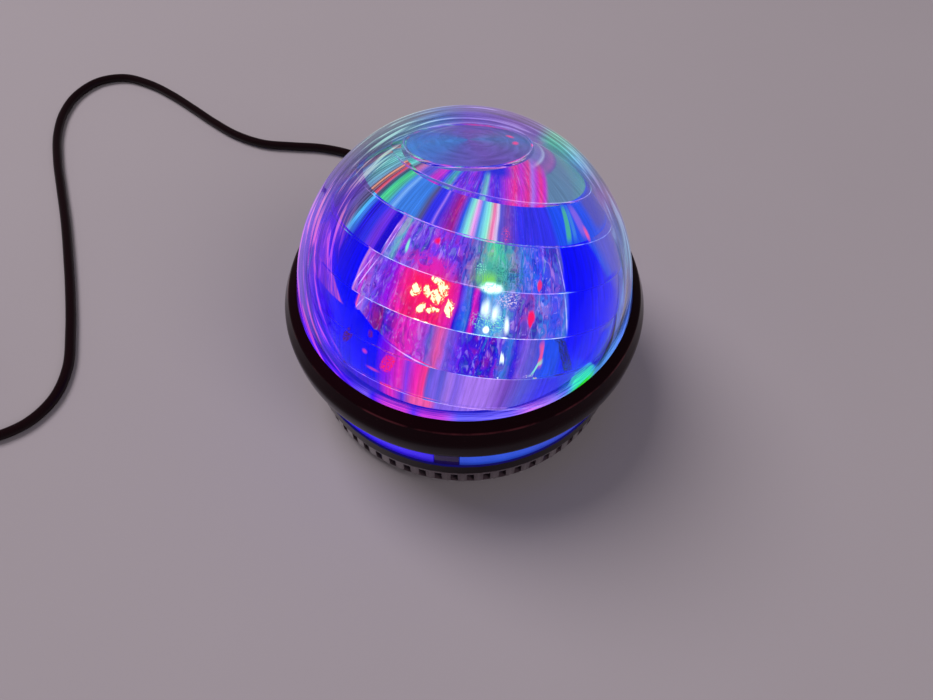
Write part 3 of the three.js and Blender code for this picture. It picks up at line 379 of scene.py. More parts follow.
def cordPath():
    coil, tail = cord["coil"], cord["tail"]
    count = round(coil["turns"] * coil["steps"])
    turns = [coilPoint(coil["turns"] * index / count) for index in range(count + 1)]
    lead = 2 * cord["radius"]
    entry = turns[0] - coilHeading(0) * (lead + cord["clearance"])
    start = Vector(cord["exit"])
    outward = Vector((start.x, start.y, 0)).normalized()
    run = smoothLine([start, start + outward * cord["radius"], *map(Vector, cord["route"]),
                      entry - coilHeading(0) * lead, entry], 8)
    heading = coilHeading(coil["turns"])
    leave = turns[-1] + heading * (lead + cord["clearance"])
    drop = leave.z - tail["height"]

    def along(share, dropLeft):
        place = leave + heading * tail["length"] * share
        return Vector((place.x, place.y, tail["height"] + dropLeft * drop))
    end = smoothLine([leave, *(along(*stop) for stop in tail["drop"])], 8)
    return [point * mm for point in [*run, *turns, *end]]


def makeCordMaterial():
    material, shader, place = newMaterial("cordBlack")
    grain = useGroup(grainGroup, {"Place": place, "Scale": 1400, "Smear": 60})
    setInputs(shader, {"Base Color": blendColour(grain["Rough"], paint(16, 2, 6), paint(24, 5, 10)),
                       "Roughness": span(grain["Rough"], 0.3, 0.7, 0.3, 0.48), "Specular IOR Level": 0.18,
                       "Normal": bumped(grain["Height"], 0.1, 0.0001)})
    return material


def makeCord():
    points = cordPath()
    curve = bpy.data.curves.new("cordLead", "CURVE")
    curve.dimensions = "3D"
    curve.bevel_depth = cord["radius"] * mm
    curve.bevel_resolution = 5
    curve.use_fill_caps = True
    spline = curve.splines.new("POLY")
    spline.points.add(len(points) - 1)
    for spot, point in zip(spline.points, points):
        spot.co = (*point, 1)
    spline.use_smooth = True
    curve.materials.append(makeCordMaterial())
    piece = bpy.data.objects.new("cordLead", curve)
    scene.collection.objects.link(piece)
    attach(piece, "housing")
    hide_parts("cord_run", "cord_coil", "cord_tail")
    length = sum((b - a).length for a, b in zip(points, points[1:]))
    print("cord laid,", round(length, 4), "m")


# The barrel plug at the base, turned about the socket's line. Barrel, grip and boot are a radius and a
# length, and each groove in the grip or the boot a line of how deep it is and how far along
plug = {"angle": 110, "height": 12, "start": 73.7, "barrel": (2.75, 9), "grip": (4.6, 17),
        "boot": (3.1, 14), "steps": 40, "rounding": 0.15,
        "ribs": {"count": 5, "from": 4, "pitch": 2.2,
                 "groove": [(0, 0), (0.35, 0.3), (0.35, 0.9), (0, 1.2)]},
        "rings": {"count": 5, "from": 0.6, "pitch": 2.6,
                  "groove": [(0, 0), (0, 1.6), (0.5, 1.8), (0.5, 2.4)]}}


def cutGrooves(outline, look, start, radius, endRadius):
    for index in range(look["count"]):
        share = index / look["count"]
        here = radius * (1 - share) + endRadius * share
        at = start + look["from"] + index * look["pitch"]
        outline.line(*[(here - deep, at + along) for deep, along in look["groove"]])


def makePowerPlug():
    start, (gripRadius, gripLength), (bootRadius, bootLength) = plug["start"], plug["grip"], plug["boot"]
    barrelRadius, barrelLength = plug["barrel"]
    gripEnd = start + gripLength
    outline = Outline(0, start - barrelLength).line((barrelRadius, start - barrelLength),
                                                    (barrelRadius, start))
    outline.line((gripRadius * 0.9, start), (gripRadius, start + 0.5))
    cutGrooves(outline, plug["ribs"], start, gripRadius, gripRadius)
    outline.line((gripRadius, gripEnd - 1), (gripRadius * 0.86, gripEnd))
    cutGrooves(outline, plug["rings"], gripEnd, gripRadius * 0.8, bootRadius)
    outline.line((bootRadius, gripEnd + bootLength), (0, gripEnd + bootLength))
    bm = outline.turn(plug["steps"])
    soften(bm, plug["rounding"])
    lift = Matrix.Translation((0, 0, plug["height"] * mm))
    about = Matrix.Rotation(math.radians(plug["angle"]), 4, "Z") @ Matrix.Rotation(math.radians(90), 4, "Y")
    bmesh.ops.transform(bm, matrix=lift @ about, verts=bm.verts[:])
    toObject("powerPlug", bm, [finishes["rubber"]], "housing", ["power_plug"])


def makeUsbPlug():
    for node, name, finish, slot, width, segments in (
            ("usb_plug_body", "usbPlugBody", "rubber", "cord_black", 0.5, 3),
            ("usb_plug_shell", "usbPlugShell", "brightSteel", "steel", 0, 0),
            ("cord_tie", "cordTie", "mattBlack", "cord_black", 0.12, 2)):
        bm = copyNode(node)
        if width:
            soften(bm, width, 50, segments)
        toObject(name, bm, [finishes[finish]], "housing", [node])


makePowerPlug()
makeUsbPlug()
makeCord()

# Prism: one angle system for its shape and its colours
prism = {"centre": 57, "radius": 68.3, "bore": 60.5, "step": 1.6, "top": 23, "tier": 14, "tiers": 7,
         "lean": 27, "towards": 65, "cut": 56, "steps": 256, "perTier": 8, "foldStart": -168}
topFlat = {"polar": 21.5, "lean": 19.2, "towards": 88.4,  # the flat leans less than the tiers below it
           "lightLean": 25, "lightPolar": 24}  # what is seen through it on the bore


def leanMatrix(lean, towards):
    side = Vector((-math.sin(math.radians(towards)), math.cos(math.radians(towards)), 0))
    return Matrix.Rotation(math.radians(lean), 4, side)


leanTurn = leanMatrix(prism["lean"], prism["towards"])
topTurn = leanMatrix(topFlat["lean"], topFlat["towards"])


def aboutAxis(place, turned):  # the place from the prism's centre, as a turned axis has it
    return addNode(place.tree, "Mapping", {"Vector": place, "Location": (0, 0, prism["centre"] * mm),
                                           "Rotation": turned.to_euler()}, vector_type="TEXTURE")


# Polar angle from a leaning axis, turn about it folded over half a circle, and distance
def makeLeanGroup(name, turned):
    tree, given, result = newGroup(name, {"Place": None}, ["Polar", "Turn", "Distance"])
    local = aboutAxis(given["Place"], turned)
    x, y, z = split(local)
    distance = vector("LENGTH", local)["Value"]
    turn = calc("DEGREES", calc("ARCTAN2", y, x))
    setInputs(result, {"Polar": calc("DEGREES", calc("ARCCOSINE", z / distance)),
                       "Turn": calc("PINGPONG", turn - prism["foldStart"], 180), "Distance": distance})
    return tree


# A soft patch at a turn and a polar angle: oval at a power of 2, squarer above, leaning by a slant
def makePatchGroup():
    tree, given, result = newGroup("patch", {
        "Turn": 0.0, "Polar": 0.0, "At Turn": 90.0, "At Polar": 60.0, "Wide": 5.0, "Tall": 5.0, "Soft": 0.5,
        "Power": 2.0, "Slant": 0.0}, ["Mask"])
    down, power = given["Polar"] - given["At Polar"], given["Power"]
    across = given["Turn"] - (down * given["Slant"] + given["At Turn"])
    far = (calc("POWER", abs(across / given["Wide"]), power)
           + calc("POWER", abs(down / given["Tall"]), power))
    far = calc("POWER", far, calc("DIVIDE", 1, power))
    setInputs(result, {"Mask": fade(far, 1 - given["Soft"], 1, 1, 0)})
    return tree


def stretched(angles, across, down, detail, rough=0.65, distortion=0):  # noise drawn out downwards
    return cloud(plane(angles["Turn"] * across, angles["Polar"] * down), 1, detail, rough, distortion)


# Elongated drops, as hammered glass shows them in the lamps' light: a share of painted highlight, a share of
# painted shade, fine speckle and a height
def makeHammerGroup():
    tree, given, result = newGroup("hammered", {"Turn": 0.0, "Polar": 0.0},
                                   ["Light", "Dark", "Speckle", "Height"])
    drops, glints, sparks, furrows, speckle = (
        stretched(given, across, down, detail, 0.5, distortion) for across, down, detail, distortion in
        ((0.4, 0.15, 4, 0.7), (0.7, 0.24, 1, 0.5), (1.5, 0.55, 1, 0.4), (0.95, 0.32, 2, 0.6),
         (1.9, 1.7, 2, 0.4)))
    cells = addNode(tree, "TexVoronoi", {"Vector": plane(given["Turn"] * 0.34, given["Polar"] * 0.15),
                                         "Scale": 1, "Smoothness": 0.6}, feature="SMOOTH_F1")
    light = calc("MAXIMUM", fade(drops, 0.57, 0.68), fade(glints, 0.63, 0.72))
    setInputs(result, {"Light": calc("MAXIMUM", light, fade(sparks, 0.66, 0.74)),
                       "Dark": 1 - fade(drops, 0.37, 0.48) * fade(furrows, 0.33, 0.42),
                       "Speckle": fade(speckle, 0.5, 0.62), "Height": cells})
    return tree


rimAxis = {"lean": 33.6, "towards": -90}


# Streaks that run round an axis leaning to the front, with the share of a turn about it
def makeRimGroup():
    tree, given, result = newGroup("rimStreaks", {"Place": None}, ["Turn", "Streaks"])
    x, y = split(aboutAxis(given["Place"], leanMatrix(**rimAxis)))[:2]
    reach = vector("LENGTH", plane(x, y))["Value"]
    share = calc("ARCTAN2", x, y) * (0.5 / math.pi) + 0.5
    setInputs(result, {"Turn": share, "Streaks": cloud(plane(reach * 620, share * 12), 1, 3, 0.5, 0.4)})
    return tree


leanGroup, topGroup = makeLeanGroup("leanAngles", leanTurn), makeLeanGroup("topAngles", topTurn)
underGroup = makeLeanGroup("underTopAngles", leanMatrix(topFlat["lightLean"], topFlat["towards"]))
patchGroup, hammerGroup, rimGroup = makePatchGroup(), makeHammerGroup(), makeRimGroup()

# The colours that the lamps, the prism and the hammered glass make between them
lightHues = {
    "pureBlue": (5, 5, 238), "deepBlue": (30, 10, 200), "blue": (50, 50, 222), "indigo": (70, 15, 210),
    "azure": (30, 78, 228), "steelBlue": (60, 125, 215), "periwinkle": (85, 85, 200),
    "sky": (80, 180, 225), "paleSky": (125, 180, 238), "slate": (95, 130, 160), "smoke": (85, 80, 115),
    "charcoal": (32, 36, 40), "violet": (120, 55, 220), "lavender": (125, 95, 220),
    "lilac": (165, 118, 226), "grape": (115, 70, 178), "purple": (140, 5, 215), "plum": (110, 15, 95),
    "berry": (170, 30, 120), "magenta": (200, 55, 200), "fuchsia": (235, 35, 175),
    "orchid": (235, 150, 225), "pearl": (236, 215, 245), "pink": (240, 88, 155), "rose": (210, 120, 170),
    "cherry": (240, 55, 130), "red": (250, 25, 95), "darkRed": (85, 10, 45), "coral": (220, 75, 85),
    "orange": (235, 145, 95), "darkTeal": (40, 112, 118), "teal": (75, 178, 158), "aqua": (110, 200, 190),
    "mint": (145, 245, 212), "green": (82, 228, 145), "lime": (135, 225, 95), "white": (232, 255, 246),
}

# Light round each tier, downwards: where it starts, how it leans, and for each folded turn the colour
# and any share of hammered look in hundredths. The lean is a slant, the polar angle it leans about and
# the folded turns over which it sets in, or past which it grows with every degree
tierLights = [
    {"from": 0, "lean": (-0.0315, 33.5, 80, None), "stops": [
        (0, "smoke"), (8, "slate"), (12, "teal"), (17, "aqua"), (20, "smoke"), (24, "rose", 10),
        (28, "periwinkle", 20), (33, "periwinkle", 20), (36.5, "magenta", 20), (40, "magenta", 20),
        (43, "blue", 30), (48, "teal", 30), (51, "blue", 50), (56, "violet", 60), (62, "violet", 60),
        (66, "blue", 50), (70, "aqua", 20), (72, "violet", 40), (78, "blue", 30), (84, "magenta", 30),
        (88, "cherry", 50), (92, "magenta", 40), (97, "cherry", 50), (100, "lilac", 20),
        (103, "magenta", 30), (106, "cherry", 20), (109, "magenta", 10), (112, "slate"), (135, "slate"),
        (180, "teal")]},
    {"from": 36, "stops": [
        (0, "aqua"), (9.5, "slate"), (11.5, "orange"), (13, "smoke"), (15, "coral"), (16.5, "smoke"),
        (19, "darkTeal"), (21.5, "green"), (24.5, "teal"), (27, "steelBlue"), (29, "paleSky"),
        (31, "steelBlue"), (41, "steelBlue"), (44, "smoke"), (46.5, "blue"), (49.7, "blue"),
        (50.6, "lilac"), (51.6, "blue"), (59, "berry", 40), (62.5, "azure", 10), (66, "mint"),
        (68.3, "orchid"), (70.5, "steelBlue"), (74.5, "mint"), (77, "pink"), (79, "pearl"),
        (80.2, "periwinkle"), (84, "grape", 20), (90, "blue", 10), (104, "blue"), (107, "blue"),
        (110, "azure")]},
    {"from": 50.3, "lean": (0.5, 57.3, 112, 122), "stops": [
        (0, "grape"), (8, "smoke"), (13, "smoke"), (15, "sky"), (17, "steelBlue"), (20, "deepBlue"),
        (26, "blue"), (30, "violet"), (34, "deepBlue"), (36.3, "deepBlue"), (36.8, "orchid", 20),
        (37.6, "violet", 70), (41, "aqua", 60), (43.5, "violet", 90), (47, "lavender", 90),
        (52, "violet", 90), (64, "violet", 90), (69, "periwinkle", 90), (74, "slate", 80),
        (79, "green", 60), (85, "teal", 70), (91, "steelBlue", 80), (99, "azure", 90),
        (107.5, "periwinkle", 80), (108.8, "periwinkle", 10), (109.8, "pureBlue"), (131, "pureBlue"),
        (133.5, "azure"), (140, "periwinkle"), (180, "periwinkle")]},
    {"from": 65.5, "lean": (0.5, 72.5, 112, 122), "stops": [
        (0, "violet"), (9, "violet"), (14, "deepBlue"), (29.6, "pureBlue"), (30.3, "orchid", 20),
        (31.3, "violet", 60), (33.5, "magenta", 80), (36, "lavender", 90), (40, "violet", 90),
        (44, "purple", 45), (47.5, "fuchsia", 55), (52, "red", 36), (64, "red", 32), (68, "fuchsia", 45),
        (69.6, "deepBlue"), (71, "azure", 30), (73, "steelBlue", 30), (74, "deepBlue"), (75.4, "fuchsia"),
        (76.8, "deepBlue"), (80, "sky", 60), (85, "sky", 60), (89, "periwinkle", 90), (95, "grape", 90),
        (101, "steelBlue", 90), (106, "azure", 60), (110.6, "steelBlue", 50), (112.3, "pureBlue"),
        (142, "pureBlue"), (152, "periwinkle"), (180, "periwinkle")]},
    {"from": 81, "stops": [
        (0, "violet"), (12, "pureBlue"), (32.8, "pureBlue"), (33.8, "pink"), (36, "lavender", 50),
        (39.5, "indigo", 90), (43.5, "plum", 60), (47, "indigo", 90), (51, "fuchsia", 70),
        (56, "fuchsia", 60), (60, "magenta", 60), (63, "periwinkle", 30), (66.3, "pink", 10),
        (69, "lavender", 20), (74, "indigo", 50), (80, "deepBlue", 80), (86, "deepBlue", 80),
        (90, "steelBlue", 20), (92.6, "deepBlue", 30), (95.5, "lavender", 20), (99.5, "periwinkle", 10),
        (104, "azure"), (109, "azure"), (113, "pureBlue"), (140, "pureBlue"), (150, "blue"),
        (180, "periwinkle")]},
    {"from": 97, "stops": [
        (0, "violet"), (10, "pureBlue"), (45, "pureBlue"), (50, "purple", 10), (55, "fuchsia", 20),
        (57.5, "violet"), (60.5, "fuchsia"), (64, "cherry"), (65, "periwinkle"), (68, "lavender"),
        (70, "periwinkle"), (73, "lilac"), (75, "lavender"), (79, "lilac"), (87, "lilac"), (93, "grape"),
        (99, "periwinkle"), (107, "blue"), (120, "blue"), (140, "azure"), (150, "sky"), (180, "periwinkle")]},
    {"from": 111, "stops": [
        (0, "magenta"), (25, "deepBlue"), (46, "indigo"), (51, "fuchsia"), (56, "blue"), (60, "pink"),
        (67, "pink"), (70, "lavender"), (95, "lilac"), (110, "rose"), (118, "aqua"), (128, "green"),
        (140, "paleSky"), (180, "lavender")]},
]
# The lower edge of the last hammered tier dips towards one side: on the bore and on the outer face
bentEdge = {"bore": 97, "face": 94, "until": 80, "bend": 0.0052}
# Spots of light, in order: turn, polar angle, half width, half height, softness, power, slant,
# colour, strength, and what breaks them up, if anything
lightSpots = [
    (76, 22, 20, 5, 0.8, 3, 0, "blue", 0.8),
    (127.5, 43, 3.6, 8, 0.6, 3, 0, "lavender", 1.0),
    (129.5, 48.2, 2.0, 4, 0.9, 2, 0, "pink", 1.0),
    (118.4, 43, 2.2, 8, 0.5, 4, -0.4, "teal", 0.9),
    (122, 43, 1.8, 8, 0.6, 4, -0.3, "steelBlue", 1.0),
    (83.5, 47, 3, 4, 0.9, 2, 0, "pink", 0.9, "speckle"),
    (155, 43, 19, 8, 0.4, 6, 0, "periwinkle", 0.75),
    (59, 70, 14, 12, 0.9, 2, 0, "red", 1.0),
    (55.5, 54, 1.7, 1.6, 0.8, 2, 0, "red", 1.0),
    (56, 62.3, 13, 5.5, 1.0, 2, 0, "fuchsia", 0.9, "torn"),
    (79, 60, 10, 8, 0.95, 2, 0, "teal", 0.9, "light"),
    (86, 60, 12, 7, 0.9, 2, 0, "darkTeal", 0.9, "speckle"),
    (75, 59, 3, 3, 0.8, 2, 0, "mint", 1.0, "speckle"),
    (78, 62.4, 7, 4.2, 0.95, 2, 0, "lime", 0.9, "light"),
    (80, 64.8, 6, 2.8, 0.9, 2, 0, "mint", 1.2),
    (80, 64.8, 5.4, 2.2, 0.7, 2, 0, "white", 1.5, "torn"),
    (87, 68, 6, 4, 0.7, 2, 0, "pearl", 0.9, "speckle"),
    (82, 76, 9, 5, 0.7, 2, 0, "mint", 0.9, "speckle"),
    (79.4, 71.5, 2.4, 4.4, 1.0, 2, 0, "white", 1.4),
    (83, 73, 2.2, 4.0, 1.0, 2, 0, "white", 1.4),
    (87.6, 76.5, 1.8, 4.2, 0.8, 2, 0.15, "white", 1.3),
    (80.6, 78.8, 1.7, 1.6, 0.5, 2, 0, "white", 1.6),
    (96, 74, 1.6, 3.4, 0.4, 2, 0, "red", 1.0),
    (98.6, 62.8, 1.3, 2.4, 0.5, 2, 0, "cherry", 0.9),
    (105, 59, 1.2, 3.4, 0.8, 2, 0.2, "lilac", 0.9),
    (45, 59, 1.0, 3, 0.7, 2, 0.2, "mint", 0.9),
    (102.6, 87, 1.0, 6.5, 0.7, 4, 0.02, "pink", 0.9),
    (101.6, 92.2, 1.1, 4.2, 0.8, 3, -0.55, "mint", 0.9),
    (99.2, 95.6, 2.0, 1.8, 0.7, 2, -0.9, "pearl", 1.0, "speckle"),
    (88.3, 88.3, 0.42, 3.2, 0.7, 2, 0.12, "white", 1.2),
    (31.5, 98.6, 2.1, 4.4, 0.25, 2, -0.5, "darkRed", 1.0, "dots"),
    (42, 92.6, 1.8, 2.0, 0.4, 2, 0, "plum", 1.0, "dots"),
    (49.8, 101.6, 2.8, 4.6, 0.3, 3, -0.3, "red", 1.0, "dots"),
    (113.2, 88.6, 2.5, 8.6, 0.3, 6, 0.55, "charcoal", 1.0, "dots"),
    (152, 84.4, 24, 2.4, 0.6, 2, -0.04, "periwinkle", 0.8),
    (40, 101, 1.6, 1.4, 0.8, 2, 0, "magenta", 0.9),
    (44, 107, 4, 1.0, 0.8, 2, 0, "magenta", 0.8),
]
# The wedge of painted purple light streaks low on one side, and the white-hot core of the red lamp by its
# patches:
# turn, polar angle, half width, half height, slant
streakWedge = {"turn": 5, "polar": 73, "slant": 1.45, "until": 88.5}
hotCore = [(54, 71.5, 3.2, 3.4, 0), (58, 70.5, 2.6, 3.6, 0.2), (62.5, 70, 3.6, 6.4, -0.2),
           (57.5, 76.5, 1.8, 3.2, -0.3), (67, 74, 2.2, 4.8, 0.1), (61.5, 76, 3.4, 1.9, -0.8),
           (60.5, 66.5, 3.2, 2, 0.8)]


def bendEdge(turn, level):
    short = calc("MAXIMUM", bentEdge["until"] - turn, 0)
    return short * short * -bentEdge["bend"] + level


def patch(angles, atTurn, atPolar, wide, tall, soft=0.5, power=2, slant=0):
    return useGroup(patchGroup, {"Turn": angles["Turn"], "Polar": angles["Polar"], "At Turn": atTurn,
                                 "At Polar": atPolar, "Wide": wide, "Tall": tall, "Soft": soft,
                                 "Power": power, "Slant": slant})


# How strongly the light glows, wavers and mixes, the folded turns and polar angles over which it fans
# out, and those over which the plastic is clearer
lightLook = {"glow": 1.2, "waver": 1.6, "mottle": 0.26, "fanTurn": (12, 32), "fanPolar": (58, 66),
             "clearNear": (4, 12), "clearFar": (132, 140), "clearPolar": (62, 80)}


# The lamps' light as the prism shows it, painted onto its bore as glow over a near-black base
def makePrismLight():
    material, shader, place = newMaterial("prismLight")
    angles, above = (useGroup(group, {"Place": place}) for group in (leanGroup, underGroup))
    polar, turn = angles["Polar"], angles["Turn"]
    hammer = useGroup(hammerGroup, {"Turn": turn, "Polar": polar})
    wavyTurn = (cloud(place, 70, 1) - 0.5) * lightLook["waver"] + turn
    colour, hammered = None, None
    for tier in tierLights:
        leaning = wavyTurn
        if "lean" in tier:
            slant, about, start, full = tier["lean"]
            farSide = fade(turn, start, full) if full else calc("MAXIMUM", turn - start, 0)
            leaning = wavyTurn - farSide * slant * (polar - about)
        light = ramp(leaning / 180, [(at / 180, paint(*lightHues[hue], sum(share) / 100))
                                     for at, hue, *share in tier["stops"]])
        if colour is None:
            colour, hammered = light, light["Alpha"]
            continue
        start = tier["from"]
        edge = bendEdge(turn, start) if start == bentEdge["bore"] else start
        inTier = calc("GREATER_THAN", polar, edge)
        colour = blendColour(inTier, colour, light)
        hammered = blendValue(inTier, hammered, light["Alpha"])
    # Painted shade and painted lilac highlights of the hammered drops, then mottled hues of the lamps' light
    darker = vector("MULTIPLY_ADD", colour, (0.3, 0.22, 0.5), (0, 0, 0.06))
    varied = blendColour(hammer["Dark"], colour, darker)
    varied = blendColour(hammer["Light"] * 0.5, varied, paint(210, 185, 255))
    mottle = paintRamp(stretched(angles, 0.3, 0.12, 2, distortion=1), *((at, *lightHues[hue]) for at, hue in (
        (0.32, "teal"), (0.42, "blue"), (0.5, "violet"), (0.57, "magenta"), (0.66, "cherry"))))
    varied = blendColour(lightLook["mottle"], varied, mottle)
    colour = blendColour(hammered, colour, varied)
    # Painted streaks of light and shade round the tiers, fanning out low on one side
    fan = span(stretched(angles, 1.5, 0.03, 2), 0.4, 0.6, 0.4, 1.7)
    fanned = fade(turn, *lightLook["fanTurn"], 1, 0) * fade(polar, *lightLook["fanPolar"], 1, 0)
    shade = span(stretched(angles, 0.9, 0.04, 4), 0.3, 0.7, 0.7, 1.2) * blendValue(fanned, 1, fan)
    colour = vector("MULTIPLY", colour, shade)

    # Painted purple light streaks in a wedge low on one side
    streaks = paintRamp(useGroup(rimGroup, {"Place": place})["Streaks"], (0.3, 50, 20, 210),
                        (0.4, 110, 50, 215), (0.47, 170, 70, 200), (0.53, 95, 45, 215), (0.6, 200, 85, 195),
                        (0.7, 80, 40, 220))
    beyond = (polar - streakWedge["polar"]) * -streakWedge["slant"] + (turn - streakWedge["turn"])
    wedge = fade(beyond, -0.6, 0.6, 1, 0) * calc("LESS_THAN", polar, streakWedge["until"])
    colour = blendColour(wedge, colour, streaks)
    torn = stretched(angles, 0.42, 0.3, 3, distortion=1.6)
    breaks = {"speckle": hammer["Speckle"], "torn": fade(torn, 0.4, 0.52), "light": 1 - hammer["Dark"] * 0.5,
              "dots": fade(stretched(angles, 1.6, 1.4, 1), 0.42, 0.58, 0.25, 1)}
    for spot in lightSpots:
        mask = patch(angles, *spot[:7])
        hue, strength, *broken = spot[7:]
        for how in broken:
            mask = mask * breaks[how]
        colour = blendColour(mask, colour, scaled(paint(*lightHues[hue]), strength))
    core = None
    for *shape, slant in hotCore:
        mask = patch(angles, *shape, 0.75, 2, slant)
        core = calc("MAXIMUM", core, mask) if core else mask
    ragged = core * 0.75 + (torn - 0.5) * 2.6
    colour = blendColour(core * fade(ragged, 0.2, 0.5), colour, paint(255, 120, 60))
    colour = blendColour(fade(core, 0, 0.2) * fade(ragged, 0.5, 0.72), colour,
                         scaled(paint(255, 253, 190), 1.3))

    topPolar, topTurned = above["Polar"], above["Turn"]
    rings = cloud(plane(topPolar * 0.24, topTurned * 0.02), 1, 3, 0.5, 1.4)
    topLight = paintRamp(topTurned / 180, (0, 62, 120, 190), (0.2, 70, 112, 190), (0.35, 92, 90, 175),
                         (0.55, 108, 82, 168), (0.75, 104, 88, 165), (0.9, 95, 105, 170), (1, 82, 112, 180))
    onTop = calc("LESS_THAN", topPolar, topFlat["lightPolar"])
    colour = blendColour(onTop, colour, vector("MULTIPLY", topLight, span(rings, 0.3, 0.7, 0.72, 1.18)))
    ringLight = paintRamp(topPolar / 40, (0.6, 112, 115, 178), (0.66, 122, 112, 182), (0.69, 165, 172, 210),
                          (0.71, 120, 90, 160), (0.78, 148, 95, 165), (0.82, 105, 86, 160))
    onRing = (1 - onTop) * (fade(topTurned, 128, 150) * fade(topPolar, 32.4, 33.4, 1, 0))
    colour = blendColour(onRing, colour, ringLight)
    # A painted pink glint near the rim of the top
    colour = blendColour(patch(above, 167, 18, 9, 1.8, 0.8, 2, 1), colour, paint(240, 70, 140))
    # The near-black base is painted shade for the dark inside, a little paler where the plastic is clearer
    sides = calc("MAXIMUM", fade(turn, *lightLook["clearNear"], 1, 0), fade(turn, *lightLook["clearFar"]))
    clear = calc("MAXIMUM", sides, onTop) * fade(polar, *lightLook["clearPolar"], 1, 0)
    setInputs(shader, {"Base Color": blendColour(clear, (0.004, 0.004, 0.02, 1), (0.03, 0.035, 0.08, 1)),
                       "Emission Color": colour, "Emission Strength": lightLook["glow"],
                       "Specular IOR Level": 0, "Roughness": 0.02, "IOR": 1.49, "Transmission Weight": 0.08,
                       "Normal": bumped(hammer["Height"] * hammered, 0.3, 0.0006)})
    return material


# Lines where light catches the ends of the hammered fields: turn, polar angle, half height, slant
fieldEnds = [(39.6, 58.5, 6.6, -0.05), (41, 58.5, 6.6, -0.05), (35.2, 71.5, 6.8, -0.28),
             (37.2, 71.5, 6.6, -0.28), (37.6, 82, 2.8, -0.5), (105.2, 58.5, 6.8, 0.12),
             (107.4, 71.8, 7, 0.08)]
# How bright and wide the painted highlights along the tier edges are, and the folded turns and polar angles
# that show them or drops
faceLook = {"glow": 0.75, "line": (0.1, 0.32), "topLine": (0.1, 0.5), "wide": ((8, 18), (158, 176)),
            "narrow": ((34, 37), (104, 112.5)), "narrowFrom": (57, 59), "drops": ((36, 38), (104, 107)),
            "dropTiers": ((50.5, 51.5), (92.5, 93.5))}


def within(value, rise, fall):  # fades in over the first range and out over the second
    return fade(value, *rise) * fade(value, *fall, 1, 0)


# Clear prism face, with painted highlights glowing along its tier edges and the ends of the hammered fields
def makePrismFace():
    material, shader, place = newMaterial("prismFace")
    angles, above = (useGroup(group, {"Place": place}) for group in (leanGroup, topGroup))
    polar, turn = angles["Polar"], angles["Turn"]
    fromTop = polar - prism["top"]
    toEven = calc("PINGPONG", fromTop, prism["tier"] / 2)  # distance to the nearest tier edge
    toBent = abs(polar - bendEdge(turn, bentEdge["face"]))
    toEdge = blendValue(calc("COMPARE", polar, 91, 9), toEven, toBent)
    nearEdge = fade(toEdge, *faceLook["line"], 1, 0)
    topEdge = fade(abs(above["Polar"] - topFlat["polar"]), *faceLook["topLine"], 0.35, 0)
    window = blendValue(fade(polar, *faceLook["narrowFrom"]), within(turn, *faceLook["wide"]) * 0.6,
                        within(turn, *faceLook["narrow"]))
    outer = calc("MAXIMUM", fade(angles["Distance"], 0.0678, 0.0682),
                 calc("COMPARE", polar, bentEdge["face"] + 0.4, 1))
    edge = nearEdge * fade(fromTop, 8, 9) * (outer * window)
    edge = calc("MAXIMUM", edge, topEdge * outer)
    for atTurn, atPolar, tall, slant in fieldEnds:
        edge = calc("MAXIMUM", edge, patch(angles, atTurn, atPolar, 0.3, tall, 0.6, 6, slant) * 0.8)
    edge = edge * fade(polar, 99, 101, 1, 0.45) * fade(cloud(place, 90, 4, 0.7), 0.3, 0.62)
    # Colours of the painted edge highlights
    tint = paintRamp(cloud(place, 30, 2), (0.3, 120, 215, 255), (0.45, 225, 245, 255),
                     (0.55, 245, 175, 255), (0.7, 160, 140, 255))
    hammer = useGroup(hammerGroup, {"Turn": turn, "Polar": polar})
    dropped = within(turn, *faceLook["drops"]) * within(polar, *faceLook["dropTiers"])
    setInputs(shader, {"Emission Color": blendColour(edge, (0, 0, 0, 1), tint),
                       "Emission Strength": faceLook["glow"], "Base Color": (0.95, 0.96, 1, 1),
                       "Specular Tint": (0.05, 0.06, 0.25, 1), "Roughness": 0, "IOR": 1.49,
                       "Transmission Weight": 1, "Normal": bumped(hammer["Height"] * dropped, 0.6, 0.0012)})
    return material


def sphereOutline(radius, lowest, steps):
    return Outline(0, radius).arc((0, 0), lowest, steps)


def placePrism(bm):  # leans, lifts and cuts level where it stands
    bmesh.ops.transform(bm, matrix=Matrix.Translation((0, 0, prism["centre"] * mm)) @ leanTurn,
                        verts=bm.verts[:])
    bmesh.ops.bisect_plane(bm, geom=bm.verts[:] + bm.edges[:] + bm.faces[:], dist=1e-6,
                           plane_co=(0, 0, prism["cut"] * mm), plane_no=(0, 0, 1), clear_inner=True)


def leanTop(bm):  # turns the flat towards its own lean, fading out over the first tier
    between = (leanTurn.inverted() @ topTurn).to_quaternion()
    start, end = topFlat["polar"], prism["top"] + prism["tier"] - 0.2
    for vert in bm.verts:
        polar = math.degrees(vert.co.angle(Vector((0, 0, 1))))
        if polar < end:
            share = min(1, max(0, (end - polar) / (end - start)))
            vert.co.rotate(Matrix.Identity(3).to_quaternion().slerp(between, share))


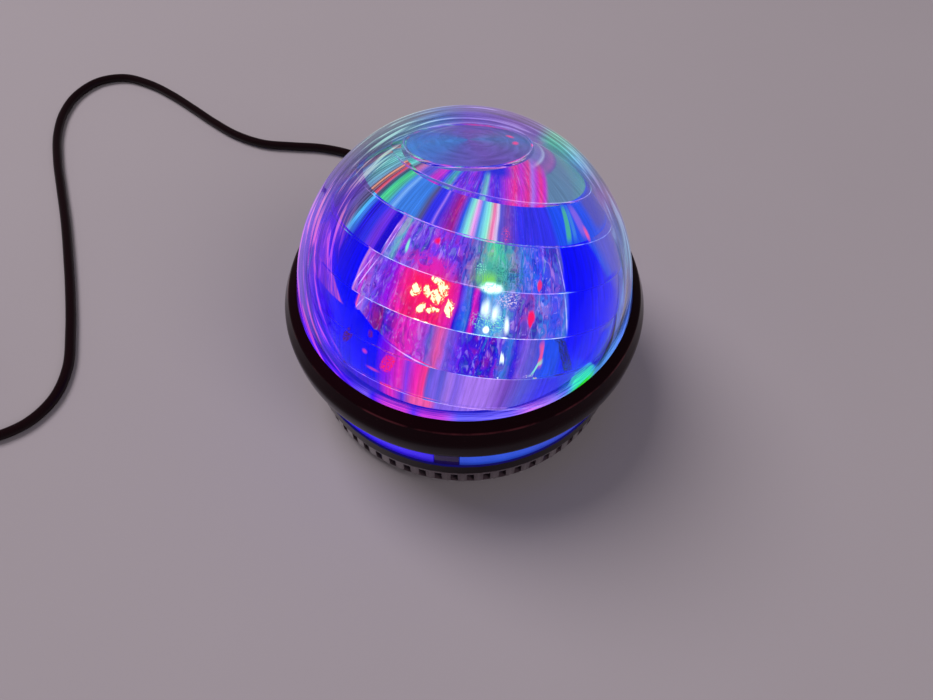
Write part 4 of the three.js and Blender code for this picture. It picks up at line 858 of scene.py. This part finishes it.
def makePrism():
    radius, step = prism["radius"], prism["step"]

    def at(degrees, distance):
        angle = math.radians(degrees)
        return distance * math.sin(angle), distance * math.cos(angle)
    outline = Outline(0, at(topFlat["polar"], radius)[1]).line(at(topFlat["polar"] / 2, radius - step * 1.9),
                                                               at(topFlat["polar"], radius))
    outline.bm.verts.ensure_lookup_table()
    for vert in outline.bm.verts:  # the flat stays level between its middle and its rim
        vert.co.z = at(topFlat["polar"], radius)[1] * mm
    for tier in range(prism["tiers"]):
        upper = topFlat["polar"] if tier == 0 else prism["top"] + tier * prism["tier"]
        lower = prism["top"] + (tier + 1) * prism["tier"]
        for index in range(prism["perTier"] + 1):
            share = index / prism["perTier"]
            outline.line(at(upper + (lower - upper) * share, radius - step * (1 - share)))
    outer = outline.turn(prism["steps"])
    leanTop(outer)
    placePrism(outer)
    inner = sphereOutline(prism["bore"], 130, 72).turn(prism["steps"])
    bmesh.ops.reverse_faces(inner, faces=inner.faces[:])
    placePrism(inner)
    mesh = bpy.data.meshes.new("inner")
    inner.to_mesh(mesh)
    inner.free()
    outer.from_mesh(mesh)
    bpy.data.meshes.remove(mesh)
    rims = [edge for edge in outer.edges if edge.is_boundary]
    bmesh.ops.bridge_loops(outer, edges=rims)
    bmesh.ops.recalc_face_normals(outer, faces=outer.faces[:])
    centre = Vector((0, 0, prism["centre"] * mm))
    border = (prism["bore"] + 1) * mm
    for face in outer.faces:
        onBore = all((vert.co - centre).length < border for vert in face.verts)
        face.material_index = 1 if onBore else 0
    return toObject("prismShell", outer, [makePrismFace(), makePrismLight()], "rotor",
                    ["prism_dome"], 25)


makePrism()
print("prism made")

# Clear dome
dome = {"radius": 72.7, "rise": 75.8, "wall": 2.5, "spring": 57, "flange": 75.6, "flangeFrom": 48.9,
        "flangeTo": 52, "steps": 224, "arcSteps": 60}
# Light caught by the clear dome, each stop a share of a turn and a colour. At its foot: where the last
# number is 0, the light reaches higher. Towards its rim: how near the edge the light begins, and the
# fine lines in it
domeLight = {
    "glow": 0.72, "footTop": (0.0646, 0.0664), "footLift": 0.005,
    "foot": [(0, 110, 60, 230), (0.1, 80, 30, 230), (0.14, 55, 15, 230), (0.16, 150, 110, 220),
             (0.168, 55, 15, 230), (0.18, 245, 75, 165), (0.2, 245, 75, 160), (0.206, 70, 60, 220),
             (0.215, 235, 70, 165), (0.232, 235, 80, 170), (0.245, 120, 115, 235), (0.29, 140, 120, 235),
             (0.31, 230, 130, 190), (0.347, 110, 150, 225), (0.353, 60, 255, 20, 0), (0.374, 60, 255, 40, 0),
             (0.38, 80, 150, 230), (0.6, 120, 90, 230), (0.75, 250, 70, 150), (0.9, 80, 230, 160)],
    "tint": [(0, 90, 60, 220, 0.8), (0.08, 120, 40, 210, 0.7), (0.15, 70, 30, 225, 0.5),
             (0.2, 80, 28, 220, 0.38), (0.25, 96, 34, 212, 0.34), (0.31, 90, 45, 205, 0.32),
             (0.36, 90, 70, 150, 0.32), (0.4, 75, 100, 125, 0.38), (0.44, 90, 130, 150, 0.45),
             (0.475, 80, 120, 200, 0.5), (0.5, 110, 90, 195, 0.5), (0.55, 130, 95, 180, 0.48),
             (0.575, 125, 100, 180, 0.52), (0.588, 75, 185, 155, 0.55),
             (0.606, 70, 170, 165, 0.55), (0.63, 75, 140, 195, 0.54), (0.65, 100, 105, 160, 0.54),
             (0.666, 135, 100, 165, 0.56), (0.7, 78, 105, 172, 0.6), (0.73, 85, 128, 178, 0.66),
             (0.757, 95, 95, 165, 0.7), (0.79, 70, 110, 205, 0.76), (0.83, 90, 90, 210, 0.8),
             (0.87, 90, 140, 200, 0.82), (0.92, 130, 110, 215, 0.8), (1, 90, 60, 220, 0.8)],
    "lines": [(0, 200, 120, 230), (0.1, 235, 90, 210), (0.2, 215, 85, 205), (0.28, 220, 100, 200),
              (0.34, 215, 140, 190), (0.4, 165, 220, 205), (0.45, 185, 235, 235),
              (0.5, 160, 140, 230), (0.568, 175, 150, 220), (0.59, 130, 235, 200),
              (0.62, 120, 200, 230), (0.65, 150, 140, 195), (0.73, 115, 170, 210),
              (0.8, 100, 150, 225), (0.9, 180, 150, 230), (1, 200, 120, 230)],
}


# The clear dome, with the lamps' light painted on as glow at its foot and near its rim
def makeClearPlastic():
    material, shader, place = newMaterial("clearDome")
    x, y, height = split(place)
    normal = bumped(cloud(place, 14, 1), 0.05, 0.001)
    around = calc("ARCTAN2", y, x) / (2 * math.pi) + 0.5
    footTint = paintRamp(around, *domeLight["foot"])
    lifted = (1 - footTint["Alpha"]) * -domeLight["footLift"] + height
    lines = cloud(plane(around * 30, height * 1500), 1, 2)
    foot = fade(lifted, *domeLight["footTop"], 1, 0) * (fade(lines, 0.3, 0.62) * 0.75)
    rim = useGroup(rimGroup, {"Place": place})
    streaks = rim["Streaks"]
    edgeTint, edgeLine = (paintRamp(rim["Turn"], *domeLight[key]) for key in ("tint", "lines"))
    facing = addNode(place.tree, "LayerWeight", {"Blend": 0.5, "Normal": normal}, "Facing")
    edge = fade(facing, edgeTint["Alpha"], edgeTint["Alpha"] + 0.12)
    streaked = blendColour(fade(streaks, 0.54, 0.64), edgeTint, edgeLine)
    # Painted shade at the rim: the streaked rim colour, darkened, goes into the base colour
    deep = vector("MULTIPLY", streaked, (0.3, 0.26, 0.34))
    glow = vector("MULTIPLY_ADD", streaked, edge * span(streaks, 0.34, 0.6, 0.28, 1),
                  vector("MULTIPLY", footTint, foot))
    setInputs(shader, {"Base Color": blendColour(edge * 0.92, (0.9, 0.9, 0.99, 1), deep),
                       "Emission Color": glow, "Emission Strength": domeLight["glow"],
                       "Specular Tint": (0.12, 0.12, 0.3, 1), "Roughness": 0, "IOR": 1.25,
                       "Transmission Weight": 1, "Normal": normal})
    return material


def makeDome():
    spring, radius, inner = dome["spring"], dome["radius"], dome["radius"] - dome["wall"]
    outline = Outline(0, spring + radius)
    outline.arc((0, spring), 90, dome["arcSteps"], dome["rise"] / radius)
    outline.first.co.z = (spring + dome["rise"]) * mm
    outline.line((radius, dome["flangeTo"]), (dome["flange"], dome["flangeTo"]),
                 (dome["flange"], dome["flangeFrom"]), (inner, dome["flangeFrom"]), (inner, spring))
    outline.arc((0, spring), -90, dome["arcSteps"], (dome["rise"] - dome["wall"]) / inner)
    bm = outline.turn(dome["steps"])
    toObject("clearDome", bm, [makeClearPlastic()], "housing", ["dome_cover"])


makeDome()
print("dome made")

# Ripple cup, turntable, lamps and what stands in the middle
cup = {"radius": 45, "rise": 30, "wall": 1.8, "base": 56, "steps": 160, "arcSteps": 40, "ripple": 160}


def makeCup():
    material, shader, place = newMaterial("rippleCup")
    ripple = addNode(place.tree, "TexVoronoi", {"Vector": place, "Scale": cup["ripple"]},
                     feature="SMOOTH_F1")
    setInputs(shader, {"Normal": bumped(ripple, 0.8, 0.002), "Base Color": (0.8, 0.85, 1, 1),
                       "Roughness": 0.05, "IOR": 1.49, "Transmission Weight": 1})
    outline = Outline(0, cup["base"] + cup["radius"])
    outline.arc((0, cup["base"]), 90, cup["arcSteps"], cup["rise"] / cup["radius"])
    outline.first.co.z = (cup["base"] + cup["rise"]) * mm
    inner = cup["radius"] - cup["wall"]
    outline.line((inner, cup["base"]))
    outline.arc((0, cup["base"]), -90, cup["arcSteps"], (cup["rise"] - cup["wall"]) / inner)
    toObject("rippleCup", outline.turn(cup["steps"]), [material], "rotor", ["ripple_cup"])


lamps = {"radius": 4.2, "rounding": 0.12,
         "lit": [("red", (255, 20, 30), 4), ("green", (40, 255, 100), 3),  # colour and strength
                 ("blue", (20, 40, 255), 4), ("white", (235, 240, 255), 3)]}


def makeLamp(colour, rgb, strength):
    material, shader, place = newMaterial(colour + "Lamp")
    low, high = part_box(colour + "_lamp")
    local = addNode(place.tree, "Mapping", {"Vector": place, "Location": (low + high) / 2},
                    vector_type="TEXTURE")
    far = vector("LENGTH", plane(*split(local)[:2]))["Value"]
    light = ramp(far / (lamps["radius"] * mm), [(0, (1, 1, 1, 1)), (0.35, paint(*rgb)), (0.75, paint(*rgb)),
                                                (0.9, (0.05, 0.05, 0.06, 1))])
    setInputs(shader, {"Emission Color": light, "Emission Strength": strength, "Base Color": paint(*rgb),
                       "Roughness": 0.2})
    bm = copyNode(colour + "_lamp")
    soften(bm, lamps["rounding"], 60, 2)
    toObject(colour + "Lens", bm, [material], "housing", [colour + "_lamp"])


def makeLitWhite():  # a white plate bathed in the lamps' blue
    material, shader, place = newMaterial("litWhite")
    rough = useGroup(grainGroup, {"Place": place, "Scale": 700, "Smear": 30})["Rough"]
    setInputs(shader, {"Base Color": blendColour(rough, paint(60, 60, 120), paint(42, 42, 84)),
                       "Emission Color": blendColour(rough, paint(10, 5, 220), paint(7.5, 3.75, 165)),
                       "Emission Strength": 0.9, "Roughness": 0.35})
    return material


makeCup()
for lamp in lamps["lit"]:
    makeLamp(*lamp)
toObject("turntableDisc", copyNode("turntable"), [makeLitWhite()], "rotor", ["turntable"])
print("inner pieces made")

# Collar, band, window and base
collar = {"lip": 73, "radius": 80, "bottom": 44.2, "height": 19.4, "cavity": 76, "ledge": 52.3, "steps": 224,
          "shares": [(0, 1), (0.08, 0.99), (0.3, 0.94), (0.54, 0.878), (0.6, 0.85), (0.645, 0.812),
                     (0.8, 0.68), (0.93, 0.57), (0.985, 0.5), (1, 0.44), (0.992, 0.28), (0.94, 0.1),
                     (0.85, 0)], "seam": 0.845, "seamWidth": (0.1, 0.6), "rounding": 0.25}


def makeCollar():
    points = [(collar["lip"] + (collar["radius"] - collar["lip"]) * across,
               collar["bottom"] + collar["height"] * up) for across, up in collar["shares"]]
    outline = Outline(*points[0]).curve(points, 5)
    outline.line((collar["cavity"], collar["bottom"]), (collar["cavity"], collar["ledge"]),
                 (collar["lip"], collar["ledge"])).close()
    bm = outline.turn(collar["steps"])
    soften(bm, collar["rounding"], 50, 2)
    material, shader, place = newMaterial("collarBlack")
    grain = useGroup(grainGroup, {"Place": place, "Scale": 700})
    # A painted highlight line along the collar's shoulder
    away = abs(split(place)[2] - (collar["bottom"] + collar["seam"] * collar["height"]) * mm)
    thin, thick = collar["seamWidth"]
    line = fade(away, thin * mm, thick * mm, 1, 0) * fade(grain["Rough"], 0.4, 0.6)
    colour = blendColour(grain["Shade"], paint(22, 2, 8), paint(44, 16, 24))
    setInputs(shader, {"Base Color": blendColour(line, colour, paint(84, 34, 42)), "Roughness": 0.1,
                       "Specular IOR Level": 0.07})
    toObject("collarRing", bm, [material], "housing", ["collar"])


band = {"radius": 73.9, "wall": 1.8, "from": 25.0, "to": 46.2, "window": 10.6, "windowAngle": -95.3,
        "gap": 0.3, "lamps": 42, "rounding": 0.3, "steps": 224, "windowSteps": 8}


def bandLevel(z):
    return span(z, band["from"] * mm, band["to"] * mm, 0, 1)


def makeBandMaterial():
    material, shader, place = newMaterial("glowBand")
    x, y, z = split(place)
    around = calc("ARCTAN2", y, x)
    hot = calc("COSINE", around * band["lamps"]) * 0.04 + 1
    level = bandLevel(z) + (cloud(place, 22, 2) - 0.5) * 0.25
    light = ramp(level, [(0, (0.25, 0.25, 0.3, 1)), (0.16, (0.8, 0.8, 0.85, 1)), (0.4, (1, 1, 1, 1)),
                         (0.75, (0.7, 0.7, 1, 1)), (1, (0.3, 0.3, 0.6, 1))])
    hue = paintRamp(around * (0.5 / math.pi) + 0.5, (0, 30, 10, 240), (0.12, 40, 0, 245), (0.2, 50, 0, 240),
                    (0.232, 48, 20, 215), (0.236, 34, 75, 205), (0.3, 34, 80, 210), (0.4, 65, 60, 170),
                    (0.5, 40, 30, 210), (0.75, 25, 15, 240), (1, 30, 10, 240))
    glow = vector("MULTIPLY", blendColour(1, light, hue, "MULTIPLY"), hot)
    setInputs(shader, {"Emission Color": glow, "Emission Strength": 1, "Base Color": paint(40, 45, 120),
                       "Roughness": 0.25})
    return material


# The receiver window: dark plastic, with light painted on it as a faint purple glow over its height
def makeWindowMaterial():
    material, shader, place = newMaterial("darkWindow")
    light = paintRamp(bandLevel(split(place)[2]), (0, 30, 12, 60), (0.5, 44, 22, 92), (0.8, 60, 40, 130),
                      (1, 20, 8, 40))
    setInputs(shader, {"Emission Color": light, "Emission Strength": 0.4, "Base Color": paint(16, 8, 30),
                       "Roughness": 0.08})
    return material


def makeBand():
    outer, inner = band["radius"], band["radius"] - band["wall"]
    half = math.degrees(band["window"] / 2 / outer)
    gap = half + math.degrees(band["gap"] / outer)
    for name, start, degrees, steps, material, slot, replaced in (
            ("glowBand", band["windowAngle"] + gap, 360 - 2 * gap, band["steps"], makeBandMaterial(),
             "glow_band", "glow_ring"),
            ("receiverWindow", band["windowAngle"] - half, 2 * half, band["windowSteps"],
             makeWindowMaterial(), "dark_window", "window")):
        outline = Outline(inner, band["from"]).line((outer, band["from"]), (outer, band["to"]),
                                                    (inner, band["to"])).close()
        bm = outline.turn(steps, degrees, start)
        soften(bm, band["rounding"], 50, 2)
        toObject(name, bm, [material], "housing", [replaced])


# Heights over which the skirt's gloss ends and the light on the ledge begins
baseLook = {"skirt": (0.0176, 0.0182), "ledge": (0.0243, 0.0247)}


def makeBaseMaterial():  # gloss black, with a paler skirt under a glossy coat and painted blue light on the ledge
    material, shader, place = newMaterial("glossBase")
    height = split(place)[2]
    grain = useGroup(grainGroup, {"Place": place, "Scale": 700})
    skirt = fade(height, *baseLook["skirt"], 1, 0)
    colour = blendColour(skirt, paint(21, 3, 8), paint(104, 84, 94))
    ledge = fade(height, *baseLook["ledge"], 0, 0.5)
    setInputs(shader, {"Base Color": blendColour(grain["Rough"] * 0.4, colour, paint(12, 4, 7)),
                       "Coat Weight": skirt, "Coat IOR": 1.8, "Coat Roughness": 0.04,
                       "Emission Color": blendColour(ledge, (0, 0, 0, 1), paint(30, 30, 170)),
                       "Emission Strength": 0.5, "Roughness": 0.1, "Specular IOR Level": 0.14})
    return material


makeCollar()
makeBand()
toObject("baseShell", copyNode("base_shell"), [makeBaseMaterial()], "housing",
         ["base_shell"], 30)
print("case made")

# The other nodes keep their shape and get a finish
nodeFinishes = {
    "mattBlack": ["bottom_cover", "deck_plate", "power_socket", "remote_receiver", "power_button",
                  "colour_button", "speed_button"],
    "rubber": ["foot_1", "foot_2", "foot_3", "foot_4"],
    "whitePlastic": ["hub_bush", "motor_pinion", "band_lights", "lamp_board"],
    "steel": ["heat_plate", "drive_motor", "speaker_magnet", *(name for name in nodes if "screw" in name)],
    "darkMetal": ["lamp_post", "speaker_frame"],
    "paperCone": ["speaker_cone"],
    "boardGreen": ["main_board", "key_board"],
}
for finish, names in nodeFinishes.items():
    for name in names:
        nodes[name].data.materials.clear()
        nodes[name].data.materials.append(finishes[finish])
print("finishes placed")


# Floor, world and lamps
studio = {"floor": 4, "world": (0.9, 0.9, 0.92, 1), "worldStrength": 0.16,
          "lamps": [("key", (-1.2, 0.9, 2.2), 1.6, 52), ("fill", (1.6, -1.4, 2.0), 1.6, 21)]}


def makeStage():
    bm = bmesh.new()
    bmesh.ops.create_grid(bm, x_segments=1, y_segments=1, size=studio["floor"])
    mesh = bpy.data.meshes.new("floor")
    bm.to_mesh(mesh)
    bm.free()
    material, shader, place = newMaterial("floor")
    colour = blendColour(cloud(place, 3, 4), paint(163, 151, 158), paint(170, 158, 165))
    setInputs(shader, {"Base Color": colour, "Roughness": 0.55})
    mesh.materials.append(material)
    floor = bpy.data.objects.new("floor", mesh)
    scene.collection.objects.link(floor)
    world = bpy.data.worlds.new("studio")
    world.use_nodes = True
    setInputs(world.node_tree.nodes["Background"], {"Color": studio["world"],
                                                    "Strength": studio["worldStrength"]})
    scene.world = world
    for name, place, size, power in studio["lamps"]:
        lamp = bpy.data.lights.new(name, "AREA")
        lamp.shape = "DISK"
        lamp.size = size
        lamp.energy = power
        holder = bpy.data.objects.new(name, lamp)
        holder.location = place
        holder.visible_glossy = holder.visible_transmission = False
        holder.rotation_euler = Vector(place).to_track_quat("Z", "Y").to_euler()
        scene.collection.objects.link(holder)


makeStage()
